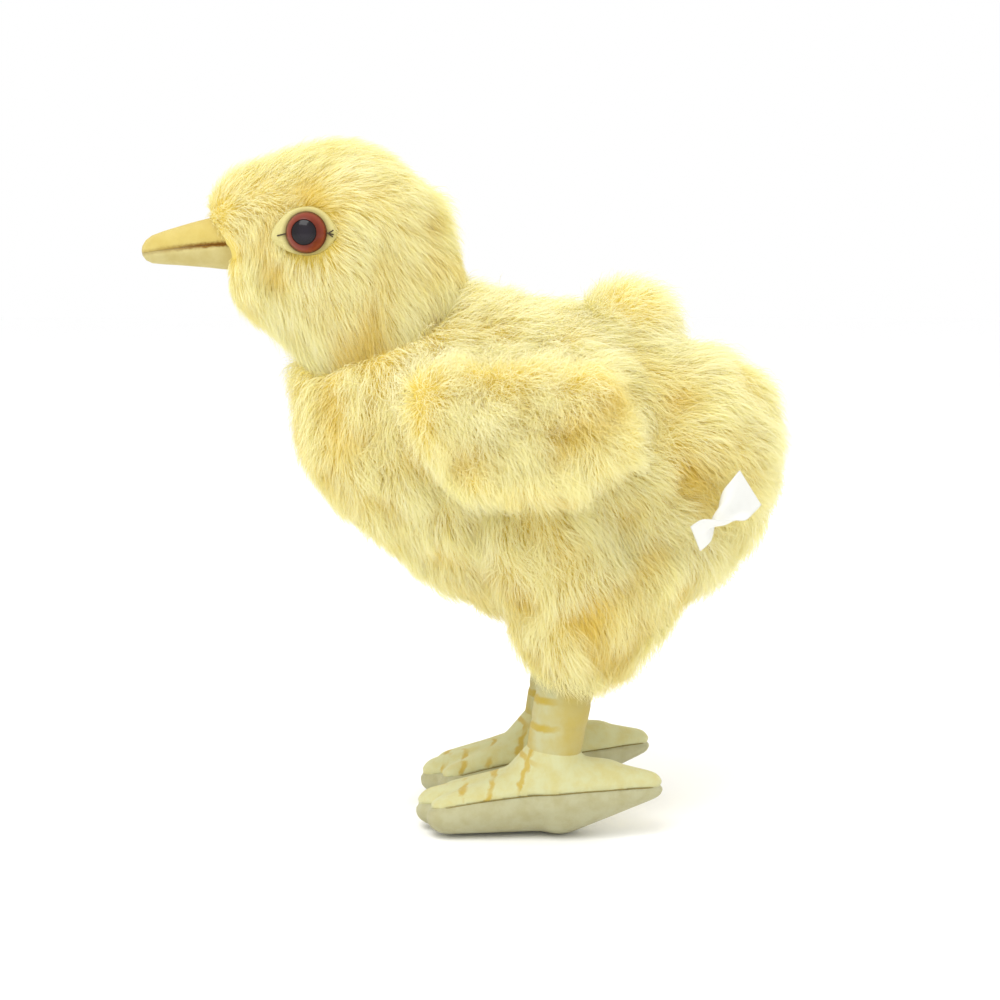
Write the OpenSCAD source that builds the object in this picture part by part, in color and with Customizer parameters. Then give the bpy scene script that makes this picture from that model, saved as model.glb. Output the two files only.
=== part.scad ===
// Standing plush chick: a stuffed long-pile body on two wired velour legs.
// Millimetres, +Z up, floor at z = 0, beak towards -Y, the chick's left side is +X.
// The origin is on the floor under the middle of the bounding box.

/* [Torso] */
// Radius of the middle of the torso
belly_r = 35; // [32:0.5:43]
// Radius of the breast
breast_r = 29; // [26:0.5:35]
// How far the breast ball sits ahead of the middle
breast_ahead = 32; // [26:0.5:38]
// How far the breast ball sits above the middle
breast_up = 10; // [6:0.5:14]
// Radius of the rump
rump_r = 28.5; // [24:0.5:34]
// How far the rump ball sits behind the middle
rump_behind = 24.5; // [20:0.5:30]
// How far the rump ball sits above the middle
rump_up = 5; // [1:0.5:8]
// Radius of the low front of the belly
under_r = 31; // [28:0.5:34]
// Radius of the seat, between the thighs and the tail
seat_r = 29; // [26:0.5:32]
// Thickness of the long-pile cloth, backing and combed pile together
fur_wall = 4; // [3:0.25:5]
// Width of the belly gusset between the two side panels
gusset_w = 26; // [20:1:32]

/* [Neck and head] */
// Radius of the ball that the neck turns on
neck_r = 22; // [20:0.5:24]
// How far the neck ball sits ahead of the breast ball
neck_ahead = 7; // [5:0.5:9]
// How far the neck ball sits above the breast ball
neck_up = 17; // [15:0.5:21]
// Radius of the head
head_r = 25.5; // [23:0.5:31]
// How far the head sits ahead of the neck
head_ahead = 10.5; // [8:0.5:13]
// How far the head sits above the neck
head_up = 22; // [20:0.5:27]
// Radius of the forehead
forehead_r = 16.5; // [14:0.5:18]
// Width of the crown gusset and of the throat panel
crown_w = 17; // [13:0.5:20]

/* [Beak] */
// Radius of the beak where it is sewn to the face
beak_root_r = 6.3; // [5:0.1:8]
// Radius of the rounded beak tip
beak_tip_r = 2.7; // [2:0.1:3.5]
// Length from the centre of the root to the centre of the tip
beak_l = 17.2; // [14:0.2:22]
// How far the tip droops
beak_droop = 1.9; // [0:0.1:3]
// Thickness of the short-pile velour
velour = 1; // [0.7:0.1:1.5]

/* [Eyes] */
// Diameter of the eye's iris
eye_d = 9; // [7.5:0.1:11]
// Diameter of the pupil
pupil_d = 5.2; // [4:0.1:6.5]
// Height of the eye's dome
eye_h = 3.4; // [2.5:0.1:4.5]
// Diameter of the eye's stem
stem_d = 3; // [2.4:0.1:4]
// Length of the eyelid patch from corner to corner
lid_l = 15.5; // [13:0.5:18]
// Height of the eyelid patch
lid_h = 10.6; // [9.5:0.1:12.5]
// Diameter of the locking washer
washer_d = 10; // [8:0.5:12]

/* [Wings] */
// Length of the sewn hinge edge
wing_root_l = 38; // [30:1:46]
// Thickness of the rounded hinge edge
wing_edge_t = 9; // [7:0.5:11]
// How far the wing hangs below its hinge
wing_drop = 25; // [18:0.5:28]
// Thickness of the wing where it is fullest
wing_t = 10; // [8:0.5:13]
// Thickness of the wing's fur cover
wing_wall = 3; // [2:0.25:4]
// Height of the wing hinge above the middle of the torso
wing_hinge_up = 19; // [15:0.5:22]

/* [Legs] */
// Distance between the two legs
leg_spread = 34; // [32:0.5:41]
// Radius of the leg at the hip
leg_top_r = 6.8; // [6:0.1:8]
// Radius of the leg at the ankle
leg_low_r = 6; // [5:0.1:7]
// Height from the ankle to the hip
leg_rise = 25.5; // [23.5:0.5:32]
// How far the hip sits behind the ankle
leg_lean = 4.5; // [2:0.5:7]
// Height of the torso's middle above the hips
torso_over_hip = 40; // [38:0.5:43]
// Radius of the thigh where it meets the torso
thigh_top_r = 17; // [15:0.5:18]
// Radius of the thigh at its hem
thigh_low_r = 13.5; // [12:0.5:15]
// Diameter of the armature wire
wire_d = 1.8; // [1.4:0.1:2.2]
// Swing of hips and ankles each way, in degrees
leg_swing = 15; // [5:1:18]

/* [Feet] */
// Height of the ankle's centre above the floor
ankle_h = 16.5; // [15.5:0.5:19]
// Length of the middle toe ahead of the ankle
toe_l = 27; // [22:0.5:33]
// Radius of a toe tip
toe_r = 4.6; // [4:0.1:5.2]
// Angle between neighbouring toes, in degrees
toe_spread = 15; // [10:1:20]
// Length of the hind toe behind the ankle
heel_l = 18.5; // [15:0.5:22]
// Radius of the hind toe's tip
heel_r = 3.6; // [3:0.1:4.5]
// Radius of the ball of the foot
ball_r = 9.6; // [9:0.1:10.5]
// How far each foot turns inwards, in degrees
toe_in = 8; // [0:1:12]
// Thickness of the insole board
board_t = 1.4; // [1:0.1:2]

/* [Label] */
// Length of the care label's free ribbon
label_l = 17; // [14:0.5:22]
// Width of the ribbon
label_w = 7.6; // [6:0.2:12]
// Thickness of the folded ribbon
label_t = 0.5; // [0.4:0.1:0.8]

/* [Hidden] */
joint_gap = 0.3; // between soft pieces that move against each other
seat_gap = 0.15; // between an inner piece and the filling around it
nod = 10; // how far the head nods each way, in degrees
big_fn = 26; // facets round a large stuffed form
small_fn = 16; // facets round a small stuffed form
far = 400; // larger than the chick
bore_fn = 16; // facets round a wire or a bore

wire_r = wire_d / 2;
bead_r = wire_r * 1.6; // eye twisted at a wire's end

beak_sits_ahead = head_r - 2; // from the head's centre to the beak's root
front_reach = breast_ahead + neck_ahead + head_ahead + beak_sits_ahead + beak_l + beak_tip_r;
mid = [0, (front_reach - rump_behind - rump_r) / 2, ankle_h + leg_rise + torso_over_hip];
breast = mid + [0, -breast_ahead, breast_up];
rump = mid + [0, rump_behind, rump_up];
under = mid + [0, -6, -10];
seat = mid + [0, 11, -16];

neck = breast + [0, -neck_ahead, neck_up];
head = neck + [0, -head_ahead, head_up];
forehead = head + [0, -12.5, 5];
flare = neck + 8 * (head - neck) / norm(head - neck); // centre of the collar's flare
flare_r = neck_r + 4.6; // leaves room for the head turned and nodding at once

beak_root = head + [0, -beak_sits_ahead, 0.2];
beak_tip = beak_root + [0, -beak_l, -beak_droop];

eye_round = 12; // degrees that the eye sits ahead of the head's middle
eye_rise = 5; // degrees that it sits above
eye_face = 6; // degrees that it looks ahead
stem_l = 8;
washer_t = 1.2;
lid_t = 0.8;
eye_seat_r = head_r - fur_wall - 0.4; // where the lid rests, from the head's centre
eye_at = head + eye_seat_r
    * [cos(eye_rise) * cos(eye_round), -cos(eye_rise) * sin(eye_round), sin(eye_rise)];

hip = [leg_spread / 2, mid[1] + 3.5, mid[2] - torso_over_hip];
ankle = hip + [0, -leg_lean, ankle_h - hip[2]];
thigh_top = hip + [0, 2.5, 11];
thigh_low = hip + [0, 3, 0];
leg_hole = leg_low_r + joint_gap;

wing_edge_r = wing_edge_t / 2;
wing_z = mid[2] + wing_hinge_up;
// The torso's widest half-width at the hinge height sets where the wing hangs.
side_x = max([for (b = [[mid, belly_r], [breast, breast_r], [rump, rump_r]])
    sqrt(max(1, pow(b[1], 2) - pow(wing_z - b[0][2], 2)))]);
wing_x = side_x + joint_gap + 0.5 + wing_edge_r;
wing_front = [wing_x, mid[1] - wing_root_l * 0.8, wing_z];
wing_back = wing_front + [0, wing_root_l, 0];
wing_mid_x = belly_r + joint_gap + wing_t / 2 - 0.8;

label_back = 16.5; // from the rump's centre back to the label's sewn end
label_down = 10.4; // and down to it
label_slope = 37; // degrees that the ribbon slopes down and forwards
label_flare = 15; // degrees that it stands out from the chick's midline
label_proud = 3.4; // from the rump to the middle of the ribbon's sewn end
label_at = rump + [sqrt(pow(rump_r, 2) - pow(label_back, 2) - pow(label_down, 2)) + label_proud,
    label_back, -label_down];

// ---- Shapes that repeat ----

module ball(p, r, fn = big_fn) { translate(p) sphere(r = r, $fn = fn); }

// Two balls and the cloth stretched between them.
module link(p, rp, q, rq, fn = big_fn) {
    hull() {
        ball(p, rp, fn);
        ball(q, rq, fn);
    }
}

// A straight wire from p to q.
module rod(p, q, r = wire_r) {
    v = q - p;
    translate(p)
        rotate([0, acos(v[2] / norm(v)), atan2(v[1], v[0])])
            cylinder(r = r, h = norm(v), $fn = bore_fn);
}

// Everything on the left is drawn once, and the right is its mirror image.
module on_side(side) {
    if (side > 0) children();
    else mirror([1, 0, 0]) children();
}

// All that lies below a plane through p that climbs towards the tail.
module below(p, slope) {
    translate(p) rotate([slope, 0, 0]) translate([-far / 2, -far / 2, -far]) cube(far);
}

module strip(w) { translate([-w / 2, -far / 2, -far / 2]) cube([w, far, far]); }

module left_half() { translate([0, -far / 2, -far / 2]) cube(far); }

// ---- Torso ----

module torso_form(g = 0) {
    hull() {
        link(breast, breast_r + g, mid, belly_r + g);
        link(under, under_r + g, seat, seat_r + g);
        link(mid, belly_r + g, rump, rump_r + g);
    }
}

// The collar that the neck ball turns in, with a flare for the nodding head.
module collar_hollow() {
    ball(neck, neck_r + joint_gap, big_fn * 2);
    ball(flare, flare_r, big_fn * 2);
}

module torso_shell() {
    difference() {
        torso_form();
        torso_form(-fur_wall);
        collar_hollow();
        for (side = [-1, 1]) on_side(side) leg_sweep();
    }
}

gusset_top = mid + [0, 0, 2]; // the gusset's upper ends lie in a plane through this point
gusset_slope = -14;

// The gusset runs from the breast, under the belly, to the tail.
module gusset_region() {
    intersection() {
        strip(gusset_w);
        below(gusset_top, gusset_slope);
    }
}

module body_side(side) {
    color([0.97, 0.91, 0.6]) on_side(side) difference() {
        intersection() {
            torso_shell();
            left_half();
        }
        gusset_region();
    }
}

module belly_gusset() {
    color([0.93, 0.88, 0.63]) intersection() {
        torso_shell();
        gusset_region();
    }
}

spine_foot = [0, hip[1], hip[2] + 16];
spine_top = neck - [0, 0, neck_r + 8];
spine_dir = (spine_top - spine_foot) / norm(spine_top - spine_foot);
hip_end = hip + [0, 0, leg_top_r + joint_gap + 1];
hip_bend = [hip[0], hip[1], spine_foot[2]];

module spine_wire() {
    color([0.62, 0.63, 0.65]) {
        rod(spine_foot + wire_d * spine_dir, spine_top); // it starts on top of the hip wire
        ball(spine_top, bead_r, bore_fn);
    }
}

module hip_wire() {
    color([0.62, 0.63, 0.65]) {
        rod([-hip_bend[0], hip_bend[1], hip_bend[2]], hip_bend);
        for (side = [-1, 1]) on_side(side) {
            rod(hip_bend, hip_end);
            ball(hip_bend, wire_r * 1.15, bore_fn);
        }
    }
}

module torso_wire_holes() {
    grow = wire_r + seat_gap;
    rod(spine_foot, spine_top, grow);
    ball(spine_top, bead_r + seat_gap, bore_fn);
    rod(spine_top, neck, grow); // the neck wire turns in this length
    rod([-hip_bend[0], hip_bend[1], hip_bend[2]], hip_bend, grow);
    for (side = [-1, 1]) on_side(side) {
        rod(hip_bend, hip_end - [0, 0, 2], grow);
        ball(hip_bend, grow * 1.15, bore_fn);
    }
}

module body_stuffing() {
    color([0.96, 0.96, 0.94]) difference() {
        torso_form(-fur_wall);
        collar_hollow();
        torso_wire_holes();
        for (side = [-1, 1]) on_side(side) leg_sweep();
    }
}

// Ladder stitches that close the gusset after stuffing. They lie on the straight stretch of
// cloth that is tangent to the belly and to the seat.
stitches = 6;
stitch_l = 2.2;
stitch_d = 0.7;
stitch_sink = 0.1; // how far a stitch's middle is pulled into the cloth
belly_to_seat = seat - under;
seam_turn = atan2(belly_to_seat[2], belly_to_seat[1])
    - acos((under_r - seat_r) / norm(belly_to_seat));
seam_out = [0, cos(seam_turn), sin(seam_turn)];
seam_front = under + (under_r - stitch_sink) * seam_out;
seam_rear = seat + (seat_r - stitch_sink) * seam_out;

module closing_seam() {
    color([0.9, 0.82, 0.5]) for (i = [1 : stitches])
        translate(seam_front + (seam_rear - seam_front) * i / (stitches + 1))
            rotate([0, 90, 0]) cylinder(d = stitch_d, h = stitch_l, center = true, $fn = bore_fn);
}

// ---- Thighs ----

// The space that a leg takes over its whole swing.
module leg_sweep() {
    room = joint_gap + 0.1;
    hull() {
        ball(hip, leg_top_r + room);
        for (a = [-leg_swing - 1, leg_swing + 1])
            translate(hip) rotate([a, 0, 0]) ball(ankle - hip, leg_low_r + room, small_fn);
    }
}

module thigh_form(g = 0) {
    hull() {
        link(thigh_top, thigh_top_r + g, thigh_low, thigh_low_r + g);
        link(thigh_top + [-1, 0, 0], thigh_top_r + g, thigh_low + [-2, 0, 0], thigh_low_r + g);
    }
}

module thigh(side) {
    color([0.9, 0.83, 0.5]) on_side(side) intersection() {
        difference() {
            thigh_form();
            thigh_form(-fur_wall);
            torso_form();
            leg_sweep();
        }
        left_half();
    }
}

module thigh_filling(side) {
    color([0.95, 0.95, 0.93]) on_side(side) intersection() {
        difference() {
            thigh_form(-fur_wall);
            torso_form();
            leg_sweep();
            rod(hip_bend, hip_end - [0, 0, 2], wire_r + seat_gap);
        }
        left_half();
    }
}

// ---- Neck and head ----

module neck_wire() {
    color([0.62, 0.63, 0.65]) {
        rod(spine_top + [0, 0, bead_r + joint_gap], neck);
        ball(neck, bead_r, bore_fn);
    }
}

module head_form(g = 0) {
    hull() {
        link(neck, neck_r + g, head, head_r + g);
        link(head, head_r + g, forehead, forehead_r + g);
    }
}

module at_eye() {
    translate(eye_at) rotate([0, 0, -eye_face]) rotate([0, 90, 0]) children();
}

// The well in the pile round each eye.
module eye_well() {
    at_eye() cylinder(d = lid_l + 1, h = 14, $fn = big_fn);
}

module eye_inner_holes() {
    at_eye() {
        translate([0, 0, -stem_l - seat_gap])
            cylinder(d = stem_d + 2 * seat_gap, h = stem_l + 2, $fn = bore_fn);
        translate([0, 0, washer_z - seat_gap])
            cylinder(d = washer_d + 2 * seat_gap, h = washer_t + 2 * seat_gap, $fn = bore_fn);
    }
}

module head_shell() {
    difference() {
        head_form();
        head_form(-fur_wall);
        beak_form(0.02);
        neck_fan();
        for (side = [-1, 1]) on_side(side) {
            eye_well();
            eye_inner_holes();
        }
    }
}

crown_slope = -14; // slope of the seam between the crown gusset and the throat panel

module crown_region() {
    difference() {
        strip(crown_w);
        below(head, crown_slope);
    }
}

module throat_region() {
    intersection() {
        strip(crown_w);
        below(head, crown_slope);
    }
}

module head_side(side) {
    color([0.97, 0.92, 0.62]) on_side(side) difference() {
        intersection() {
            head_shell();
            left_half();
        }
        strip(crown_w);
    }
}

module head_gusset() {
    color([0.98, 0.93, 0.64]) intersection() {
        head_shell();
        crown_region();
    }
}

module throat_panel() {
    color([0.95, 0.9, 0.62]) intersection() {
        head_shell();
        throat_region();
    }
}

// Room for the neck wire as the head nods about it.
module neck_fan() {
    room = wire_r + joint_gap;
    hull() {
        ball(neck, bead_r + joint_gap, small_fn);
        for (a = [-nod - 2, nod + 2])
            translate(neck) rotate([a, 0, 0]) ball([0, 0, -neck_r - 2], room, small_fn);
    }
}

head_wire_low = neck + 0.2 * (head - neck);
head_wire_high = head + [0, 0, 4];

module head_wire() {
    color([0.62, 0.63, 0.65]) {
        rod(head_wire_low, head_wire_high);
        ball(head_wire_high, bead_r, bore_fn);
    }
}

module head_stuffing() {
    color([0.96, 0.96, 0.94]) difference() {
        head_form(-fur_wall);
        beak_form(0.02);
        neck_fan();
        rod(head_wire_low, head_wire_high, wire_r + seat_gap);
        ball(head_wire_high, bead_r + seat_gap, bore_fn);
        for (side = [-1, 1]) on_side(side) {
            eye_well();
            eye_inner_holes();
        }
    }
}

// ---- Beak ----

module beak_form(g = 0) {
    link(beak_root, beak_root_r + g, beak_tip, beak_tip_r + g, small_fn);
}

// The mouth line runs from the corner to just below the tip.
mouth_slope = atan2(beak_droop, beak_l) + 2;

module beak_skin() {
    difference() {
        beak_form();
        beak_form(-velour);
    }
}

module beak_upper() {
    color([0.9, 0.82, 0.5]) difference() {
        beak_skin();
        below(beak_root, mouth_slope);
    }
}

module beak_lower() {
    color([0.84, 0.76, 0.44]) intersection() {
        beak_skin();
        below(beak_root, mouth_slope);
    }
}

module beak_filling() { color([0.95, 0.95, 0.93]) beak_form(-velour); }

// ---- Eyes ----

eye_r = eye_d / 2;
dome_r = (pow(eye_r, 2) + pow(eye_h, 2)) / (2 * eye_h); // sphere that the dome is cut from
washer_z = -washer_t - 3;

// An almond: the overlap of two round discs.
module almond(l, h, t) {
    r = (pow(l / 2, 2) + pow(h / 2, 2)) / h;
    intersection() {
        translate([r - h / 2, 0, 0]) cylinder(r = r, h = t, $fn = 64);
        translate([h / 2 - r, 0, 0]) cylinder(r = r, h = t, $fn = 64);
    }
}

module eyelid(side) {
    color([0.93, 0.9, 0.74]) on_side(side) at_eye() difference() {
        almond(lid_l, lid_h, lid_t);
        translate([0, 0, -1]) cylinder(d = stem_d + 2 * seat_gap, h = lid_t + 2, $fn = bore_fn);
    }
}

module eye_dome() {
    intersection() {
        translate([0, 0, eye_h - dome_r]) sphere(r = dome_r, $fn = 64);
        cylinder(r = eye_r + 1, h = eye_h + 1, $fn = 64);
    }
}

// A pupil cap sits in a shallow round seat in the dome.
module pupil_seat() {
    translate([0, 0, eye_h * 0.45]) cylinder(d = pupil_d, h = eye_h, $fn = 64);
}

module eye(side) {
    color([0.5, 0.25, 0.12]) on_side(side) at_eye() {
        translate([0, 0, lid_t]) difference() {
            eye_dome();
            pupil_seat();
        }
        translate([0, 0, -stem_l]) cylinder(d = stem_d, h = stem_l + lid_t + 0.3, $fn = bore_fn);
    }
}

module pupil(side) {
    color([0.05, 0.04, 0.04]) on_side(side) at_eye() translate([0, 0, lid_t]) intersection() {
        eye_dome();
        pupil_seat();
    }
}

module eye_washer(side) {
    color([0.9, 0.9, 0.88]) on_side(side) at_eye() translate([0, 0, washer_z]) difference() {
        cylinder(d = washer_d, h = washer_t, $fn = bore_fn);
        translate([0, 0, -1]) cylinder(d = stem_d + 0.04, h = washer_t + 2, $fn = bore_fn);
    }
}

// ---- Wings ----

// A full flap that hangs from its rounded top edge.
module wing_form(g = 0) {
    low_r = wing_t / 2 + g;
    edge_r = wing_edge_r + g;
    low_z = wing_z - wing_drop + wing_t / 2;
    tip = wing_back + [-1, 8, -wing_drop * 0.5];
    hull() {
        link(wing_front, edge_r, wing_back, edge_r, small_fn);
        link([wing_mid_x, wing_front[1] + wing_root_l * 0.42, low_z], low_r,
             [wing_mid_x, wing_front[1] + wing_root_l * 0.78, low_z], low_r, small_fn);
        ball([wing_x + 1, wing_front[1] + 4, wing_z - wing_drop * 0.4], low_r - 0.5, small_fn);
        ball(tip, low_r - 0.8, small_fn);
    }
}

// The lining is the inner face, against the torso.
module lining_region() {
    torso_form(joint_gap + wing_wall * 0.6);
}

module wing_cover(side) {
    color([0.95, 0.88, 0.55]) on_side(side) difference() {
        wing_form();
        wing_form(-wing_wall);
        lining_region();
    }
}

module wing_lining(side) {
    color([0.93, 0.86, 0.55]) on_side(side) intersection() {
        difference() {
            wing_form();
            torso_form(joint_gap);
        }
        lining_region();
    }
}

module wing_filling(side) {
    color([0.95, 0.95, 0.93]) on_side(side) difference() {
        wing_form(-wing_wall);
        lining_region();
    }
}

// ---- Legs ----

module leg_form(g = 0) { link(hip, leg_top_r + g, ankle, leg_low_r + g, small_fn); }

leg_dir = (ankle - hip) / norm(ankle - hip);

module leg_sleeve(side) {
    color([0.85, 0.79, 0.5]) on_side(side) difference() {
        leg_form();
        leg_form(-velour);
    }
}

module leg_filling(side) {
    color([0.95, 0.95, 0.93]) on_side(side) difference() {
        leg_form(-velour);
        rod(hip - leg_dir, ankle + leg_dir, wire_r + seat_gap);
    }
}

module leg_wire(side) {
    color([0.62, 0.63, 0.65]) on_side(side) rod(hip - 0.8 * leg_dir, ankle + 0.8 * leg_dir);
}

// ---- Feet ----

// A foot is drawn with its ankle over the origin and its toes towards -Y.
module at_foot() { translate([ankle[0], ankle[1], 0]) rotate([0, 0, -toe_in]) children(); }

press = 0.5; // how far the foot's underside is pressed flat by the floor

module above_floor(z) { translate([-far / 2, -far / 2, z]) cube(far); }

module toe(angle, l, root_r, g, fn) {
    rotate([0, 0, angle])
        link([0, -3, root_r - press], root_r + g, [0, -l, toe_r - press], toe_r + g, fn);
}

// Three toes, a hind toe that lifts off the floor, and the instep under the leg.
module foot_form(g = 0, fn = small_fn) {
    toe(-toe_spread, toe_l - 2.5, ball_r - 0.9, g, fn);
    toe(0, toe_l, ball_r - 0.5, g, fn);
    toe(toe_spread, toe_l - 2.5, ball_r - 0.7, g, fn);
    link([0, 1.5, ball_r - press], ball_r + g, [0, heel_l, ankle_h - heel_r - 1], heel_r + g, fn);
    link([0, -3, ball_r], ball_r - 1 + g, [0, 0, ankle_h - 1], leg_low_r + 1.5 + g, fn);
    // the cloth between the toes
    hull() for (angle = [-toe_spread, 0, toe_spread])
        rotate([0, 0, angle]) ball([0, -toe_l * 0.52, 5.9 - press], 5.9 + g, fn);
}

seam_at = [0, 0, 9.2]; // the seam between upper and sole climbs towards the heel
seam_slope = 7;

module foot_skin() {
    difference() {
        at_foot() difference() {
            intersection() {
                foot_form();
                above_floor(0);
            }
            intersection() {
                foot_form(-velour);
                above_floor(velour);
            }
        }
        ankle_hollow();
    }
}

// The leg's round end sits in this hollow, with room for its swing.
module ankle_hollow() {
    hull() {
        ball(ankle, leg_hole);
        for (a = [-leg_swing - 1, leg_swing + 1])
            translate(ankle) rotate([a, 0, 0]) ball((hip - ankle) * 0.6, leg_top_r + joint_gap);
    }
}

module sole_region() { at_foot() below(seam_at, seam_slope); }

module foot_upper(side) {
    color([0.9, 0.85, 0.6]) on_side(side) difference() {
        foot_skin();
        sole_region();
    }
}

module foot_sole(side) {
    color([0.74, 0.7, 0.5]) on_side(side) intersection() {
        foot_skin();
        sole_region();
    }
}

module insole_form(g = 0) {
    translate([0, 0, 3.4 - g]) linear_extrude(board_t + 2 * g) hull() {
        translate([0, -toe_l * 0.72]) circle(r = 5.5 + g, $fn = small_fn);
        translate([0, 3]) circle(r = 5 + g, $fn = small_fn);
    }
}

module foot_wire_form(g = 0) {
    z = 3.4 + board_t + wire_r + 0.1;
    rod([0, -toe_l * 0.55, z], [0, 0, z], wire_r + g);
    rod([0, 0, z], [0, 0, ankle_h - leg_hole - 0.2], wire_r + g);
}

module foot_filling(side) {
    color([0.95, 0.95, 0.93]) on_side(side) difference() {
        at_foot() difference() {
            intersection() {
                foot_form(-velour - seat_gap, 12);
                above_floor(velour + seat_gap);
            }
            insole_form(seat_gap);
            foot_wire_form(seat_gap);
        }
        ankle_hollow();
    }
}

module insole(side) { color([0.72, 0.6, 0.42]) on_side(side) at_foot() insole_form(); }

module foot_wire(side) { color([0.62, 0.63, 0.65]) on_side(side) at_foot() foot_wire_form(); }

// ---- Label ----

module care_label() {
    color([0.97, 0.97, 0.95]) translate(label_at) rotate([label_slope, 0, label_flare])
        translate([-label_t / 2, -label_l, -label_w / 2]) cube([label_t, label_l, label_w]);
}

body_side(1);  // body_side_left
body_side(-1);  // body_side_right
belly_gusset();
body_stuffing();
closing_seam();
spine_wire();
hip_wire();
thigh(1);  // thigh_left
thigh(-1);  // thigh_right
thigh_filling(1);  // thigh_filling_left
thigh_filling(-1);  // thigh_filling_right
neck_wire();
head_side(1);  // head_side_left
head_side(-1);  // head_side_right
head_gusset();
throat_panel();
head_stuffing();
head_wire();
beak_upper();
beak_lower();
beak_filling();
eyelid(1);  // eyelid_left
eyelid(-1);  // eyelid_right
eye(1);  // eye_left
eye(-1);  // eye_right
pupil(1);  // pupil_left
pupil(-1);  // pupil_right
eye_washer(1);  // eye_washer_left
eye_washer(-1);  // eye_washer_right
wing_cover(1);  // wing_cover_left
wing_cover(-1);  // wing_cover_right
wing_lining(1);  // wing_lining_left
wing_lining(-1);  // wing_lining_right
wing_filling(1);  // wing_filling_left
wing_filling(-1);  // wing_filling_right
leg_sleeve(1);  // leg_sleeve_left
leg_sleeve(-1);  // leg_sleeve_right
leg_filling(1);  // leg_filling_left
leg_filling(-1);  // leg_filling_right
leg_wire(1);  // leg_wire_left
leg_wire(-1);  // leg_wire_right
foot_upper(1);  // foot_upper_left
foot_upper(-1);  // foot_upper_right
foot_sole(1);  // foot_sole_left
foot_sole(-1);  // foot_sole_right
foot_filling(1);  // foot_filling_left
foot_filling(-1);  // foot_filling_right
insole(1);  // insole_left
insole(-1);  // insole_right
foot_wire(1);  // foot_wire_left
foot_wire(-1);  // foot_wire_right
care_label();
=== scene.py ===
# %% [markdown]
# # A plush chick on wired legs
# The chick is a soft toy: long, combed pile cloth over a stuffed body, short velour on the beak, legs
# and feet, glossy safety eyes and a small woven label. Its joints and its hidden inner pieces come from
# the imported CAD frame. This lesson makes every soft surface round that frame: first the camera, then
# the skins under the pile, then the pile strand by strand, and last the velour, eyes, label and light.

# %% Tools and frame
import math

import bmesh
import bpy
import numpy as np
from mathutils import Matrix, Vector


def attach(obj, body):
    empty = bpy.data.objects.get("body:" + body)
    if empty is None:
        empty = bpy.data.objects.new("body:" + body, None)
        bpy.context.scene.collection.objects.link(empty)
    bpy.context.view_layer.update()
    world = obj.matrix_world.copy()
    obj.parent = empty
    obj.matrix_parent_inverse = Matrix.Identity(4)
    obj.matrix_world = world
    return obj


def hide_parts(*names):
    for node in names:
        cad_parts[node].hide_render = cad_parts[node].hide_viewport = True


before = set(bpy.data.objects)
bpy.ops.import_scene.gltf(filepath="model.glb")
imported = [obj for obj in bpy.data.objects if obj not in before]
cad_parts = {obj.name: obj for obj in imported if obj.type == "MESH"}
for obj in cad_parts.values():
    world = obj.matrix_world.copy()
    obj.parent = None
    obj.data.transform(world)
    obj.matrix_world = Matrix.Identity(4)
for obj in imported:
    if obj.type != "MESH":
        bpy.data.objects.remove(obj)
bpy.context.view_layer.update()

MM = 0.001  # the lesson's sizes are in millimetres, and the scene is in metres
SIDES = (("left", 1), ("right", -1))


def mm(x, y, z):
    """A place in millimetres as a vector in metres."""
    return Vector((x, y, z)) * MM


# %% [markdown]
# The camera stands level with the chick's neck, about three body lengths from its left side, and looks
# slightly down. A long lens keeps the near and the far foot almost the same size.

# %% Camera
CAMERA_AT = mm(447.5, 7.4, 127)
LOOKS_AT = mm(0, 7.4, 72.7)
FOCAL_LENGTH = 71.2

camera = bpy.data.objects.new("camera", bpy.data.cameras.new("camera"))
camera.data.lens = FOCAL_LENGTH
camera.data.sensor_width = 36
camera.data.clip_start = 0.01
camera.location = CAMERA_AT
camera.rotation_euler = (LOOKS_AT - CAMERA_AT).to_track_quat("-Z", "Y").to_euler()
bpy.context.collection.objects.link(camera)
bpy.context.scene.camera = camera

# %% [markdown]
# Colours are chosen as a dyer would pick them, as screen values from 0 to 255, and turned into the
# linear values that shaders work in.

# %% Colours


def dye(red, green, blue):
    """A screen colour, 0 to 255, as a linear colour with alpha."""
    values = [v / 255 for v in (red, green, blue)]
    linear = [v / 12.92 if v <= 0.04045 else ((v + 0.055) / 1.055) ** 2.4 for v in values]
    return (*linear, 1.0)


# %% [markdown]
# Shader maths is easier to follow as Python expressions than as a web of nodes. `Wire` wraps one
# socket, so that `1 - mask * 0.5` adds the Math nodes itself. `Finish` is one material: its `node`
# method adds any other node, with its settings first and then its inputs.

# %% Wires


class Wire:
    """One output socket in a finish, with arithmetic that adds Math nodes."""

    def __init__(self, finish, socket):
        self.finish, self.socket = finish, socket

    def maths(self, operation, *values):
        return self.finish.node("ShaderNodeMath", {"operation": operation}, dict(enumerate(values)))

    def __add__(self, other):
        return self.maths("ADD", self, other)

    def __sub__(self, other):
        return self.maths("SUBTRACT", self, other)

    def __rsub__(self, other):
        return self.maths("SUBTRACT", other, self)

    def __mul__(self, other):
        return self.maths("MULTIPLY", self, other)

    __radd__ = __add__
    __rmul__ = __mul__

    def __truediv__(self, other):
        return self.maths("DIVIDE", self, other)

    def __pow__(self, other):
        return self.maths("POWER", self, other)

    def __abs__(self):
        return self.maths("ABSOLUTE", self)

    def either(self, other):
        """The larger of two masks."""
        return self.maths("MAXIMUM", self, other)

    def wave(self):
        return self.maths("SINE", self)


# %% Finishes


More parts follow.
